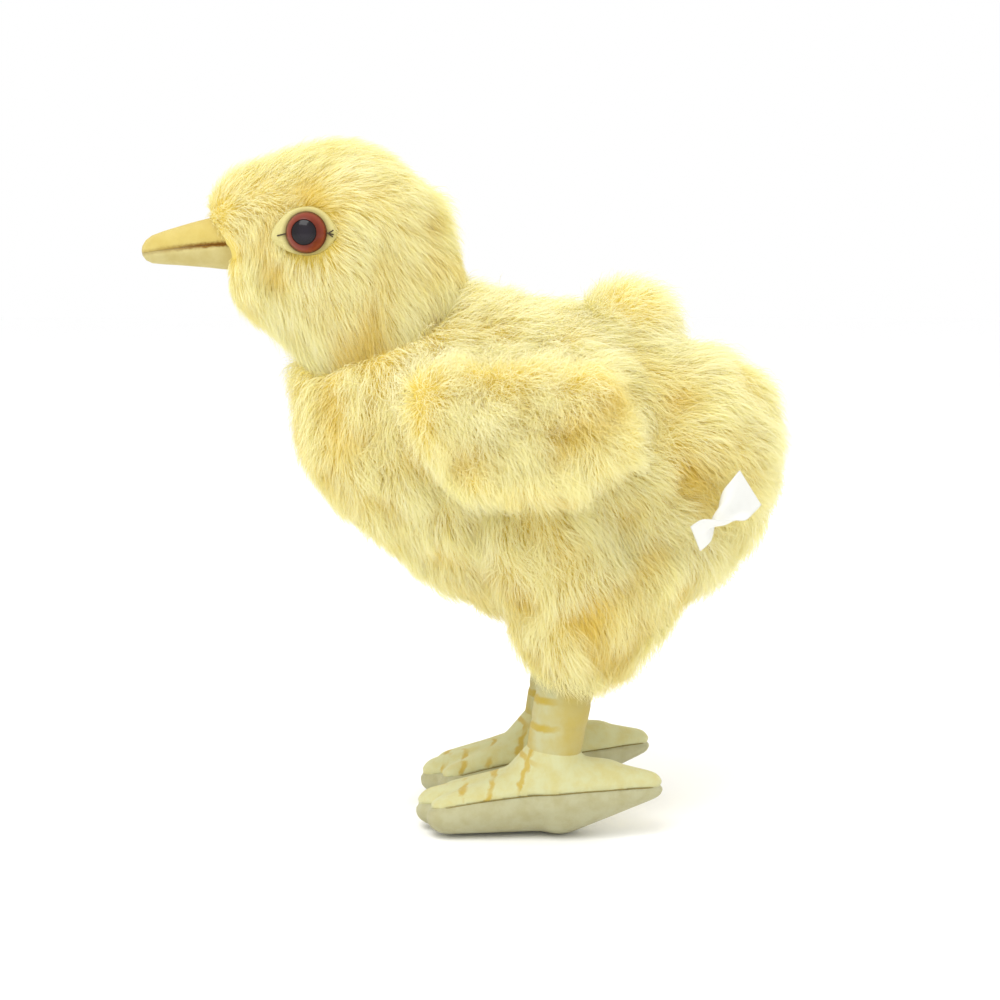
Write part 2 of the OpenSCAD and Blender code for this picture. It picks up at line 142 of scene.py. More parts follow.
class Finish:
    """A node material under construction."""

    def __init__(self, name):
        self.material = bpy.data.materials.new(name)
        self.material.use_nodes = True
        self.tree = self.material.node_tree
        self.tree.nodes.clear()

    def node(self, kind, settings=None, inputs=None, output=0):
        """Adds a node, sets it, feeds its inputs with values or Wires, and gives one output."""
        made = self.tree.nodes.new(kind)
        for key, value in (settings or {}).items():
            setattr(made, key, value)
        for key, value in (inputs or {}).items():
            if isinstance(value, Wire):
                self.tree.links.new(value.socket, made.inputs[key])
            else:
                made.inputs[key].default_value = value
        return Wire(self, made.outputs[output])

    def place(self):
        """The point's place on the piece, in metres."""
        return self.node("ShaderNodeTexCoord", output="Object")

    def axis(self, letter):
        """One coordinate of the place, in millimetres."""
        return self.node("ShaderNodeSeparateXYZ", inputs={0: self.place()}, output=letter) / MM

    def attribute(self, name):
        return self.node("ShaderNodeAttribute", {"attribute_name": name}, output="Fac")

    def noise(self, per_mm, detail=3.0, roughness=0.55):
        """Fine or coarse unevenness: per_mm is how many waves fit in a millimetre."""
        inputs = {"Vector": self.place(), "Scale": per_mm / MM, "Detail": detail,
                  "Roughness": roughness}
        return self.node("ShaderNodeTexNoise", inputs=inputs)

    def mix(self, share, first, second):
        """The first colour where share is 0, the second where it is 1."""
        inputs = {0: share, 6: first, 7: second}  # the sockets of a colour mix
        return self.node("ShaderNodeMix", {"data_type": "RGBA"}, inputs, output=2)

    def step(self, value, low, high):
        """0 below low, 1 above high, smooth between."""
        settings = {"interpolation_type": "SMOOTHSTEP"}
        return self.node("ShaderNodeMapRange", settings, {0: value, 1: low, 2: high})

    def bump(self, height, distance_mm, strength=1.0):
        """Small relief, distance_mm deep where height runs from 0 to 1."""
        return self.node("ShaderNodeBump", None,
                         {"Height": height, "Distance": distance_mm * MM, "Strength": strength})

    def done(self, shader):
        """Ends the finish with its shader and gives the material."""
        out = self.tree.nodes.new("ShaderNodeOutputMaterial")
        self.tree.links.new(shader.socket, out.inputs["Surface"])
        return self.material

    def principled(self, **inputs):
        """The Principled shader, with its sockets named in Python's way: Base_Color and so on."""
        named = {key.replace("_", " "): value for key, value in inputs.items()}
        return self.node("ShaderNodeBsdfPrincipled", None, named)


# %% [markdown]
# Stuffed cloth has no edges and no flat faces. Each soft form is built as a few lumps, each the tight
# skin round two balls, like stuffing pushed into a sleeve. A voxel remesh melts the lumps into one
# closed surface, and smoothing lets the cloth pull tight between them.

# %% Soft forms


def lump(*balls):
    """The tight skin round some balls, each (x, y, z, radius) in millimetres. The ball points inside
    the skin are deleted."""
    form = bmesh.new()
    for x, y, z, radius in balls:
        bmesh.ops.create_icosphere(form, subdivisions=3, radius=radius * MM,
                                   matrix=Matrix.Translation(mm(x, y, z)))
    hull = bmesh.ops.convex_hull(form, input=form.verts, use_existing_faces=False)
    spare = {e for e in hull["geom_interior"] + hull["geom_unused"] if isinstance(e, bmesh.types.BMVert)}
    bmesh.ops.delete(form, geom=list(spare), context="VERTS")
    return form


def both_sides(*balls):
    """The same lump on the left and on the right."""
    return [lump(*[(side * x, y, z, r) for x, y, z, r in balls]) for side in (1, -1)]


def melt(name, lumps, voxel, smoothing):
    """One closed mesh from several lumps. voxel is in millimetres, smoothing a number of passes."""
    mesh = bpy.data.meshes.new(name)
    joined = bmesh.new()
    for form in lumps:
        form.to_mesh(mesh)
        joined.from_mesh(mesh)
        form.free()
    joined.to_mesh(mesh)
    joined.free()
    rough = bpy.data.objects.new(name + "_rough", mesh)
    bpy.context.collection.objects.link(rough)
    remesh = rough.modifiers.new("melt", "REMESH")
    remesh.mode, remesh.voxel_size = "VOXEL", voxel * MM
    smooth = rough.modifiers.new("pull", "SMOOTH")
    smooth.factor, smooth.iterations = 0.5, smoothing
    finished = bpy.data.meshes.new_from_object(rough.evaluated_get(bpy.context.evaluated_depsgraph_get()))
    bpy.data.objects.remove(rough)
    finished.name = name
    return finished


# %% Showing a piece


def show(name, mesh, material, body, replaces=()):
    """Puts a smooth mesh in the scene as a named piece. It moves with a body of the frame, has one
    material and stands in for the CAD nodes that it replaces."""
    piece = bpy.data.objects.new(name, mesh)
    bpy.context.collection.objects.link(piece)
    mesh.materials.clear()
    mesh.materials.append(material)
    mesh.polygons.foreach_set("use_smooth", np.full(len(mesh.polygons), True))
    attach(piece, body)
    if replaces:
        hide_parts(*replaces)
    print(name, len(mesh.polygons), "faces, rides on", body)
    return piece


# %% [markdown]
# The skins lie about five millimetres inside the chick's outline, because the pile stands up that far.
# The torso is breast, belly, back and rump, with a tuft mound on the rump and a low tail. Shoulders and
# thighs are lumps of their own on both sides. Sculpting would do it too, but numbers can be corrected.

# %% Torso skin
BREAST = (0, -12.5, 92, 24.5)
BELLY = (0, 20, 83, 30.5)
torso_skin = melt("torso_cloth", [
    lump(BREAST, BELLY),
    lump(BREAST, (0, 6, 79.5, 26.5)),
    lump((0, -24.5, 99.5, 14), (0, -12.5, 92, 22)),  # crop, under the throat
    lump(BELLY, (0, 45.5, 84, 22.5)),  # rump
    lump((0, -4, 99, 16.5), (0, 17, 98, 17.5)),  # back
    lump((0, -2, 105, 14.5), (0, 13, 101.5, 14)),  # nape
    lump((0, 45, 84, 20), (0, 54, 90, 13.5)),  # tail, above
    lump((0, 15, 72.5, 24.5), (0, 30, 67, 23.5)),  # belly between the legs
    lump((0, 45, 82, 21), (0, 50, 74.5, 15.5)),  # tail, below
    lump((0, 30, 66, 22), (0, 47, 69, 14.5)),  # seat
    lump((0, 35.7, 112, 8.3), (0, 33, 99, 13)),  # tuft mound
    *both_sides((19, -3, 92, 13), (19, 25, 92, 13)),  # shoulders, under the wings' folds
    *both_sides((19, 17, 71, 14), (17.5, 24, 53, 13)),  # thighs, from the flank down
    *both_sides((17, 24, 54, 14), (17.5, 24.5, 45, 11)),
    *both_sides((12, 33, 58, 13.5), (16, 29, 46, 9.5)),  # back of the thighs
], voxel=1.6, smoothing=12)

# %% [markdown]
# The head is a round skull, a forehead that carries the beak, a throat and a neck. The neck is a ball
# round the point that the head turns about, so it fills the collar at every angle.

# %% Head skin
NECK = (0, -19.05, 109)  # the point that the head nods and turns about
SKULL = (0, -29.5, 131)
head_skin = melt("head_cloth", [
    lump((*SKULL, 20.2), (*NECK, 17.5)),
    lump((0, -28, 130.5, 19.5), (0, -19, 118, 17.5)),  # back of the neck
    lump((*SKULL, 20.2), (0, -47, 136.4, 10)),  # forehead
    lump((0, -39.5, 126.5, 13.5), (0, -34, 118.5, 10.5)),  # throat
    lump((0, -45.5, 129.5, 8), (0, -38, 130, 14)),  # face, round the beak's root
    lump((0, -15, 134.5, 6.5), (0, -22, 130, 14)),  # back of the head
], voxel=1.4, smoothing=10)

# %% [markdown]
# Each wing is a stuffed flap that hangs from a sewn fold high on the torso's side. Six small balls with
# one tight skin round them give its rounded corners and its slight swing outwards.

# %% Wing skins
HINGE_X, HINGE_Z = 34.69, 101.0  # the fold, which runs from front to back


def wing_skin(side):
    return melt("wing_cloth", [lump(
        (side * HINGE_X, -8, HINGE_Z, 3.2), (side * HINGE_X, 27, HINGE_Z, 3.2),
        (side * 38.5, 3, 82, 3.2), (side * 38.5, 19, 81, 3.2),
        (side * 35.5, 33, 89, 3), (side * 36.5, -6.5, 91, 3),
    )], voxel=1.2, smoothing=6)


# %% [markdown]
# ## Pile
# Long pile is the chick's whole look, so it is real geometry: thin ribbons that rise from the skin and
# bend the way the cloth was combed. A particle system would need its own renderer settings, and a bump
# map would leave a hard outline, while ribbons give the soft, broken edge from every side. There are
# about two hundred thousand, too many for bmesh operators, so arrays lay them all at once.
# The steps are: scatter roots, comb them, gather them in locks, curl them, and write the ribbons.

# %% Roots on a skin


def scatter(mesh, per_mm2, keep, rng):
    """Random points on a mesh in millimetres, with their normals. keep gives each a share from 0 to 1."""
    mesh.calc_loop_triangles()
    points = np.empty(len(mesh.vertices) * 3)
    mesh.vertices.foreach_get("co", points)
    normals = np.empty(len(mesh.vertices) * 3)
    mesh.vertices.foreach_get("normal", normals)
    corners = np.empty(len(mesh.loop_triangles) * 3, dtype=np.int64)
    mesh.loop_triangles.foreach_get("vertices", corners)
    points, normals, corners = points.reshape(-1, 3) / MM, normals.reshape(-1, 3), corners.reshape(-1, 3)
    a, b, c = (points[corners[:, k]] for k in range(3))
    area = np.linalg.norm(np.cross(b - a, c - a), axis=1) / 2
    count = int(area.sum() * per_mm2)
    chosen = rng.choice(len(area), count, p=area / area.sum())
    u, v = rng.random(count), rng.random(count)
    flip = u + v > 1
    u[flip], v[flip] = 1 - u[flip], 1 - v[flip]
    weights = np.stack([1 - u - v, u, v], axis=1)[:, :, None]
    places = (points[corners[chosen]] * weights).sum(axis=1)
    facing = unit((normals[corners[chosen]] * weights).sum(axis=1))
    kept = rng.random(count) < keep(places)
    return places[kept], facing[kept]


# %% Places and soft steps


def unit(vectors):
    """The same directions with a length of 1."""
    return vectors / np.maximum(np.linalg.norm(vectors, axis=-1, keepdims=True), 1e-9)


def folded(places):
    """The same places, with the right side mirrored to the left."""
    return np.abs(places) * [1, 0, 0] + places * [0, 1, 1]


def from_side(places, y, z, radius):
    """1 where a point seen from the side is at (y, z), falling smoothly to 0 past the radius."""
    return np.exp(-((places[:, 1] - y) ** 2 + (places[:, 2] - z) ** 2) / radius**2 * 1.5)


def patches(places, table):
    """Soft round patches added up. Each is (back, height, radius, strength), seen from the side: gold
    where its strength is above 0, paler where it is below. Most gold patches are painted shade, in hollows
    and under overhangs."""
    return sum(from_side(places, y, z, radius) * strength for y, z, radius, strength in table)


def near(places, centre, radius):
    """1 at the centre, falling smoothly to 0 past the radius."""
    away = np.linalg.norm((places - np.array(centre, float)) / radius, axis=1)
    return np.exp(-away**2 * 1.5)


def slide(value, low, high):
    """0 below low, 1 above high, smooth between."""
    t = np.clip((value - low) / (high - low), 0, 1)
    return t * t * (3 - 2 * t)


def drift(places, size, seed):
    """Three smooth random fields, about -1 to 1, that change over size millimetres."""
    rng = np.random.default_rng(seed)
    total = np.zeros((len(places), 3))
    for _ in range(5):  # waves in as many directions
        wave = unit(rng.normal(size=(3, 3))) * rng.uniform(0.7, 1.5, (3, 1)) / size
        total += np.sin(2 * np.pi * (places @ wave.T) + rng.uniform(0, 2 * np.pi, 3))
    return total / 2.6


# %% Strands from roots
PILE_HABIT = {  # what a pile does unless its style says otherwise
    "swirl": 0.5, "stray": 0.42, "hilly": 0.22, "lock": 3.2, "turns": 1.0,
}
SWIRL_SIZE = 14  # millimetres over which the comb wanders
SAG = 0.06  # how far a strand's tip sinks, as a share of its length
BIG_LOCK = 8.5  # millimetres across the large locks, into which the small ones gather
CELL_NUMBERS = np.array([1, 4099, 16777213])  # primes and 1, to number cells without clashes


def strands(roots, facing, comb, style, hills, rng):
    """The rings of every strand: an array (strand, ring, xyz) in millimetres. hills is where the pile
    stands high, about -1 to 1."""
    count, rings = len(roots), style["segments"] + 1
    style = {**PILE_HABIT, **style}
    t = np.linspace(0, 1, rings)[None, :, None]
    wander = drift(roots, SWIRL_SIZE, 5) * style["swirl"]
    wander = wander + rng.normal(size=(count, 3)) * style["stray"]
    comb = comb + wander
    along = unit(comb - facing * (comb * facing).sum(axis=1, keepdims=True))
    length = style["length"](roots) * (1 + style["hilly"] * hills)
    length = (length * rng.uniform(0.72, 1.12, count))[:, None, None]
    rise = (style["rise"](roots) * rng.uniform(0.6, 1.3, count))[:, None, None]
    up, out = facing[:, None, :], along[:, None, :]
    # a strand leaves the skin along its normal and bends over, the way the cloth was combed
    path = up * rise * (t - 0.42 * t**2) + out * (1 - 0.55 * rise) * (0.72 * t + 0.38 * t**2)
    places = roots[:, None, :] + path * length
    places = places + np.array([0, 0, -1.0]) * SAG * length * t**2
    # locks: the tips in one cell lean towards their middle, in small cells and then in large ones
    for cell, gather in ((style["lock"], 0.35), (BIG_LOCK, 0.2)):
        warped = roots + drift(roots, cell * 2.2, 9) * cell * 0.45
        key = np.floor(warped / cell).astype(np.int64) @ CELL_NUMBERS
        _, which, number = np.unique(key, return_inverse=True, return_counts=True)
        sums = [np.bincount(which, places[:, -1, k]) for k in range(3)]
        middle = np.stack(sums, axis=1) / number[:, None]
        pull = (middle[which] - places[:, -1])[:, None, :]
        places = places + pull * gather * t**1.6 * rng.uniform(0.3, 1.2, (count, 1, 1))
    # curls: a loose helix that grows towards the tip
    curl = style["curl"](roots)[:, None, None] * rng.uniform(0.2, 1.3, (count, 1, 1))
    turns = rng.uniform(0.5, 1.3, (count, 1, 1)) * style["turns"]
    phase = rng.uniform(0, 2 * np.pi, (count, 1, 1))
    side = np.cross(facing, along)[:, None, :]
    swing = 2 * np.pi * turns * t + phase
    places = places + curl * t * (side * (np.cos(swing) - np.cos(phase))
                                  + up * 0.6 * (np.sin(swing) - np.sin(phase)))
    return places, along


# %% Ribbons from strands


def ribbons(name, places, facing, tone, width, rng):
    """A mesh of tapering ribbons along the strands. tone is each strand's colour, from -1, palest,
    to 1, deep gold; much of it is painted shade and painted highlight."""
    count, rings, _ = places.shape
    t = np.linspace(0, 1, rings)
    run = unit(np.gradient(places, axis=1))
    turned = facing + rng.normal(size=(count, 3)) * 0.55
    across = unit(np.cross(run, turned[:, None, :]))
    half = width * 0.5 * rng.uniform(0.75, 1.25, (count, 1, 1)) * (1 - 0.75 * t**1.5)[None, :, None]
    pairs = rings - 1
    left = (places - across * half)[:, :pairs]
    right = (places + across * half)[:, :pairs]
    points = np.concatenate([np.stack([left, right], axis=2).reshape(count, pairs * 2, 3),
                             places[:, -1:]], axis=1) * MM
    each = pairs * 2 + 1
    first = (np.arange(count) * each)[:, None]
    step = np.arange(pairs - 1) * 2
    quads = np.stack([step, step + 1, step + 3, step + 2], axis=1).reshape(1, -1) + first
    tips = np.array([[pairs * 2 - 2, pairs * 2 - 1, pairs * 2]]) + first
    corners = np.concatenate([quads, tips], axis=1).reshape(-1)
    sizes = np.tile([4] * (pairs - 1) + [3], count)
    mesh = bpy.data.meshes.new(name)
    mesh.vertices.add(count * each)
    mesh.vertices.foreach_set("co", points.reshape(-1))
    mesh.loops.add(len(corners))
    mesh.loops.foreach_set("vertex_index", corners)
    mesh.polygons.add(len(sizes))
    mesh.polygons.foreach_set("loop_start", np.concatenate([[0], np.cumsum(sizes)[:-1]]))
    mesh.polygons.foreach_set("loop_total", sizes)
    mesh.update(calc_edges=True)
    ring_t = np.append(np.repeat(t[:-1], 2), 1.0)
    for label, values in (("along", np.tile(ring_t, count)), ("gold", np.repeat(tone, each)),
                          ("strand", np.repeat(rng.random(count), each))):
        mesh.attributes.new(label, "FLOAT", "POINT").data.foreach_set("value", values.astype(np.float32))
    return mesh


# %% Growing pile
MOST_TRIANGLES = 180_000  # in one piece


def grow(name, skin, body, material, style, seed):
    """Grows pile on a skin and shows it, as several pieces where there are many strands."""
    rng = np.random.default_rng(seed)
    thin = 1.0
    roots, facing = scatter(skin, style["per_mm2"] * thin, style["keep"], rng)
    hills = drift(roots, 12, 21)[:, 0]
    places, along = strands(roots, facing, style["comb"](roots, facing), style, hills, rng)
    # strands on the low ground between tufts go gold and those on high tufts paler: painted shade and
    # painted highlight, added to each style's tone and a little random tone
    tone = style["gold"](roots) - 0.3 * hills + rng.normal(size=len(roots)) * 0.12
    tone = np.clip(tone, -1, 1)
    width = style["width"] * 1.0
    triangles = len(roots) * (2 * style["segments"] - 1)
    parts = max(1, math.ceil(triangles / MOST_TRIANGLES))
    order = rng.permutation(len(roots))
    for k in range(parts):
        mine = order[k::parts]
        piece_name = name if parts == 1 else f"{name}_{k + 1}"
        mesh = ribbons(piece_name, places[mine], facing[mine], tone[mine], width, rng)
        show(piece_name, mesh, material, body)
    print(name, len(roots), "strands,", triangles, "triangles in", parts, "pieces")


# %% [markdown]
# The pile is dyed pale lemon, and its roots are deeper gold, so gaps and parted locks show gold; the
# gold roots are also painted shade deep in the pile. Light passes through such fine fibres, so a share
# of the shader is Translucent, which keeps shade soft.

# %% Pile finish
PASSES_THROUGH = 0.42  # share of the light that passes through a strand


def pile_finish(name, root, tip, gold):
    """Reads what ribbons() wrote: the place along a strand, its tone and a random number for it."""
    finish = Finish(name)
    along = finish.attribute("along")
    tone = finish.attribute("gold")
    strand = finish.attribute("strand")
    # deeper gold at the roots: the dye, and painted shade deep in the pile
    base = finish.mix(finish.step(along, 0.0, 0.62), root, tip)
    # gold where the tone is above 0: painted shade, with some of the pile's own gold tone
    tinted = finish.mix(finish.step(tone, 0.0, 1.0) * (1.2 - along * 0.5), base, gold)
    # paler towards the tips where the tone is below 0: painted highlight, with some of the pile's own pale
    # tone
    pale_tone_and_highlight = finish.mix(finish.step(tone, 0.1, -0.8) * along, tinted, dye(255, 255, 236))
    varied = finish.mix(strand * 0.16, pale_tone_and_highlight, dye(255, 252, 232))
    front = finish.principled(Base_Color=varied, Roughness=0.75, Specular_IOR_Level=0.12)
    through = finish.node("ShaderNodeBsdfTranslucent", None, {"Color": dye(252, 245, 170)})
    shader = finish.node("ShaderNodeMixShader", None, {0: PASSES_THROUGH, 1: front, 2: through})
    return finish.done(shader)


long_pile = pile_finish("long_pile", dye(242, 221, 100), dye(253, 251, 212), dye(232, 200, 66))

# %% [markdown]
# The cloth under the pile is seen only where strands part. It is a knit in the gold of the roots, so a
# plain fibrous bump is enough. It takes the place of the frame's flat panels.

# %% Cloth under the pile


def backing_finish():
    finish = Finish("pile_backing")
    fibre = finish.noise(1.4, detail=5)
    patch = finish.noise(0.09, detail=2)
    colour = finish.mix(patch, dye(236, 214, 108), dye(244, 230, 140))
    colour = finish.mix(fibre * 0.5, colour, dye(222, 190, 92))
    shader = finish.principled(Base_Color=colour, Roughness=0.9, Specular_IOR_Level=0.1,
                               Normal=finish.bump(fibre, 0.5))
    return finish.done(shader)


backing = backing_finish()
torso_cloth = show("torso_cloth", torso_skin, backing, "torso",
                   replaces=("body_side_left", "body_side_right", "belly_gusset",
                             "thigh_left", "thigh_right"))
show("head_cloth", head_skin, backing, "head",
     replaces=("head_side_left", "head_side_right", "head_gusset", "throat_panel"))
wing_skins = {}
for side_name, side in SIDES:
    wing_skins[side_name] = wing_skin(side)
    show("wing_cloth_" + side_name, wing_skins[side_name], backing, "wing_" + side_name,
         replaces=("wing_cover_" + side_name, "wing_lining_" + side_name))


# %% [markdown]
# The torso's pile is combed back along the spine, then more and more downwards towards the belly and
# thighs. It is longest on the tail and the thighs' rear hem, fluffed up on the tuft mound and thinner
# under the wings. A style is a few functions of place: how long, how steep, how curly and how golden.
# The gold is mostly painted shade, in the hollows, under the head and round the wings and the label, and
# the paler top of the back is painted highlight.

# %% Torso pile


def torso_comb(places, facing):
    drop = slide(places[:, 2], 108, 52)[:, None]
    back = np.array([0, 1.0, -0.1])
    down = np.array([0, 0.34, -1.0])
    front = slide(places[:, 1], 8, -30)[:, None]
    comb = back * (1 - drop) + down * drop
    comb = comb * (1 - 0.8 * front) + np.array([0, 0.15, -1.0]) * 0.8 * front
    tail = slide(places[:, 1], 50, 66)[:, None] * slide(places[:, 2], 66, 90)[:, None]
    return comb * (1 - tail) + np.array([0, 0.75, -0.6]) * tail


def torso_length(places):
    length = 10.5 + 1.5 * slide(places[:, 1], 40, 62)
    length = length - 1.0 * near(places, NECK, 26)
    hem = slide(places[:, 2], 48, 38) * slide(np.abs(places[:, 0]), 2, 9)
    length = length + 3.5 * near(folded(places), (20, 37, 40), 7)
    return length - 1.5 * hem - 1.5 * slide(places[:, 1], -18, -34)


def torso_rise(places):
    mound = near(places, (0, 34, 116), 12)
    top = slide(places[:, 2], 92, 112)
    hem = slide(places[:, 2], 52, 40)
    collar = near(places, NECK, 27)
    return 0.62 + 0.12 * top + 0.2 * mound + 0.2 * collar - 0.22 * hem


# gold patches are painted shade: under the head on the collar and the breast, round the wing, in the
# hollow round the label and in the crease of the thigh. The tail patches make it paler.
TORSO_PATCHES = (
    (-25, 110, 7, 0.9), (-29, 104, 7, 0.45), (-25, 90, 8, 0.45), (-36, 89, 7, 0.3),  # collar and breast
    (32, 104, 7, 0.6), (23, 96, 6, 0.4), (43, 98, 7, 0.35),  # behind the wing
    (50, 86, 9, 0.6), (48, 78, 7, 0.6),  # hollow round the label
    (28, 54, 8, 0.45),  # thigh
    (62, 93, 11, -0.5), (57, 62, 10, -0.4),  # tail
)


def torso_gold_and_painted_light(places):
    # more gold low on the body is painted shade and the paler top of the back is painted highlight; the
    # drift is the pile's own uneven tone
    below = slide(places[:, 2], 72, 50)
    back = slide(places[:, 2], 94, 110)
    gold = patches(places, TORSO_PATCHES) + 0.3 * below - 0.9 * back
    return gold + 0.2 * drift(places, 17, 3)[:, 0]


def torso_keep(places):
    in_collar = np.linalg.norm(places - np.array(NECK), axis=1) < 18.5
    # the pile is thinner under the wings, and the legs come out of a hole at each thigh's hem
    under_wing = ((np.abs(places[:, 0]) > 24) & (places[:, 1] > -2) & (places[:, 1] < 28)
                  & (places[:, 2] > 82) & (places[:, 2] < 100))
    leg_hole = (places[:, 2] < 37.5) & (np.hypot(np.abs(places[:, 0]) - 17, places[:, 1] - 23.5) < 6.5)
    return np.where(in_collar | leg_hole, 0.0, np.where(under_wing, 0.45, 1.0))


TORSO_PILE = {
    "per_mm2": 6.2, "segments": 4, "width": 0.14, "keep": torso_keep, "comb": torso_comb,
    "length": torso_length, "rise": torso_rise, "gold": torso_gold_and_painted_light,
    "curl": lambda places: 0.5 + 0.5 * slide(places[:, 2], 80, 100),
}
grow("torso_pile", torso_skin, "torso", long_pile, TORSO_PILE, seed=11)

# %% [markdown]
# The head's pile is shorter. It is combed away from the beak, over the crown and down the cheeks, and
# it is clipped close round the beak and the eyes. Long strands hang over the collar.

# %% Head pile
EYE = (21, -34.0, 132.9)  # where the pile parts round the eye
BEAK_ROOT = (0, -53.0, 131.2)  # where the beak's axis leaves the face


def head_comb(places, facing):
    crown = slide(places[:, 2], 126, 146)[:, None]
    comb = np.array([0, 0.42, -1.0]) * (1 - crown) + np.array([0, 1.0, 0.1]) * crown
    throat = slide(places[:, 1], -34, -48)[:, None] * slide(places[:, 2], 134, 124)[:, None]
    comb = comb * (1 - throat) + np.array([0, 0.25, -1.0]) * throat
    left = folded(places)
    away = left - np.array(EYE)
    ring = near(left, EYE, 9)[:, None]
    away[:, 0] = away[:, 0] * np.sign(places[:, 0])
    from_beak = places - np.array(BEAK_ROOT)
    close = near(places, BEAK_ROOT, 11)[:, None]
    return comb + unit(away) * ring * 1.6 + unit(from_beak) * close * 1.5


def head_length(places):
    left = folded(places)
    length = 8.6 - 4.8 * near(places, BEAK_ROOT, 13) - 3.9 * near(left, EYE, 9.5)
    length = length + 4.5 * near(places, (0, -9, 138), 8)
    return np.maximum(length + 5.0 * slide(places[:, 2], 120, 106), 2.2)


def head_rise(places):
    nape = near(places, (0, -9, 139), 10)
    return 0.6 + 0.4 * nape + 0.12 * slide(places[:, 2], 138, 150) - 0.36 * slide(places[:, 2], 120, 108)


# gold round the eye, the beak and the neck is painted shade, in the hollows and under the head
HEAD_PATCHES = (
    (-36, 141.5, 7, 0.55), (-40, 129, 6, 0.45), (-45, 133, 5, 0.35),  # round the eye and the beak
    (-18, 125, 8, 0.35), (-25, 111, 8, 0.9),  # neck
    (-37, 119, 8, -0.35),  # throat
    (-32, 154, 3, 0.6), (-24, 152, 3, 0.5),  # crown
)


def head_gold_and_painted_light(places):
    # the paler crown is painted highlight; the drift is the pile's own uneven tone
    crown = slide(places[:, 2], 136, 150)
    return patches(places, HEAD_PATCHES) - 0.6 * crown + 0.15 * drift(places, 12, 4)[:, 0]


def head_keep(places):
    left = folded(places)
    at_eye = np.linalg.norm((left - np.array(EYE)) / [8, 5.2, 4.7], axis=1) < 1
    at_beak = np.linalg.norm(places - np.array(BEAK_ROOT), axis=1) < 5.8
    at_mouth = np.linalg.norm(left - np.array([6, -52, 130.4]), axis=1) < 3.0
    low = places[:, 2] < 101
    return np.where(at_eye | at_beak | at_mouth | low, 0.0, 1.0)


HEAD_PILE = {
    "per_mm2": 9.5, "segments": 4, "width": 0.115, "keep": head_keep, "comb": head_comb,
    "length": head_length, "rise": head_rise, "gold": head_gold_and_painted_light, "lock": 2.6,
    "curl": lambda places: np.full(len(places), 0.3), "swirl": 0.3, "stray": 0.3, "hilly": 0.12,
}
grow("head_pile", head_skin, "head", long_pile, HEAD_PILE, seed=12)

# %% [markdown]
# The wings carry the most worn pile: its fibres are curly and matted above, and combed down below.

# %% Wing pile


def wing_comb(places, facing):
    ridge = slide(places[:, 2], 97, 102)[:, None]
    return np.array([0, 0.55, -0.9]) * (1 - ridge) + np.array([0, 0.5, 0.35]) * ridge


# gold under the fold at the top of the wing and low on its front is painted shade
WING_PATCHES = ((23, 95, 6, 0.75), (31, 100, 6, 0.6), (17, 79, 9, 0.5))


def wing_gold_and_painted_light(places):
    # the paler ridge along the top of the wing is painted highlight; the drift is the pile's own uneven
    # tone
    ridge = slide(places[:, 2], 97, 102)
    return patches(places, WING_PATCHES) - 0.35 * ridge + 0.15 * drift(places, 11, 6)[:, 0]


WING_PILE = {
    "per_mm2": 9.5, "segments": 6, "width": 0.115,
    "keep": lambda places: np.where(np.abs(places[:, 0]) > 35.5, 1.0, 0.12),
    "comb": wing_comb, "length": lambda places: 10.5 - 1.5 * slide(places[:, 2], 84, 79),
    "rise": lambda places: 0.45 + 0.4 * slide(places[:, 2], 84, 101), "gold": wing_gold_and_painted_light,
    "curl": lambda places: 0.4 + 0.7 * slide(places[:, 2], 84, 92), "turns": 1.6, "stray": 0.6,
    "swirl": 0.8,
}
for side_name, side in SIDES:
    grow("wing_pile_" + side_name, wing_skins[side_name], "wing_" + side_name, long_pile,
         WING_PILE, seed=13)


# %% [markdown]
# ## Stuffing
# Loose fibre fills each skin. It is the same form, a little smaller, so it never shows through.

# %% Stuffing


def fibre_finish():
    finish = Finish("stuffing_fibre")
    tuft = finish.noise(0.35, detail=6, roughness=0.7)
    colour = finish.mix(tuft, dye(244, 244, 240), dye(226, 226, 222))
    return finish.done(finish.principled(Base_Color=colour, Roughness=0.95,
                                         Normal=finish.bump(tuft, 1.0)))


fibre = fibre_finish()


def fill(name, skin, less, body, replaces):
    """The stuffing inside a skin, less millimetres smaller."""
    form = bmesh.new()
    form.from_mesh(skin)
    form.normal_update()
    for point in form.verts:
        point.co -= point.normal * less * MM
    mesh = bpy.data.meshes.new(name)
    form.to_mesh(mesh)
    form.free()
    piece = show(name, mesh, fibre, body, replaces)


fill("torso_stuffing", torso_skin, 1.0, "torso",
     ("body_stuffing", "thigh_filling_left", "thigh_filling_right"))
fill("head_stuffing_fibre", head_skin, 1.0, "head", ("head_stuffing",))
for side_name, side in SIDES:
    fill("wing_stuffing_" + side_name, wing_skins[side_name], 0.8, "wing_" + side_name,
         ("wing_filling_" + side_name,))


# %% [markdown]
# ## Velour
# Beak, legs and feet are short-pile velour, with markings sprayed on by hand. Velour has a fine grain,
# soft brushed patches and a pale bloom where it turns away, which is what sheen is for.

# %% Velour finishes


def velour_finish(name, base, deep, marks=None, mark_colour=None):
    """Velour in two tones. marks takes the finish and gives a mask of the sprayed markings."""
    finish = Finish(name)
    grain = finish.noise(5.0, detail=3, roughness=0.7)
    brushed = finish.noise(0.28, detail=3)
    colour = finish.mix(finish.step(brushed, 0.3, 0.75) * 0.7, base, deep)
    colour = finish.mix(grain * 0.22, colour, dye(236, 228, 190))
    if marks:
        colour = finish.mix(marks(finish), colour, mark_colour)
    height = grain * 0.6 + brushed * 0.4
    return finish.done(finish.principled(Base_Color=colour, Roughness=0.85, Specular_IOR_Level=0.15,
                                         Sheen_Weight=0.2, Sheen_Roughness=0.4,
                                         Normal=finish.bump(height, 0.35)))


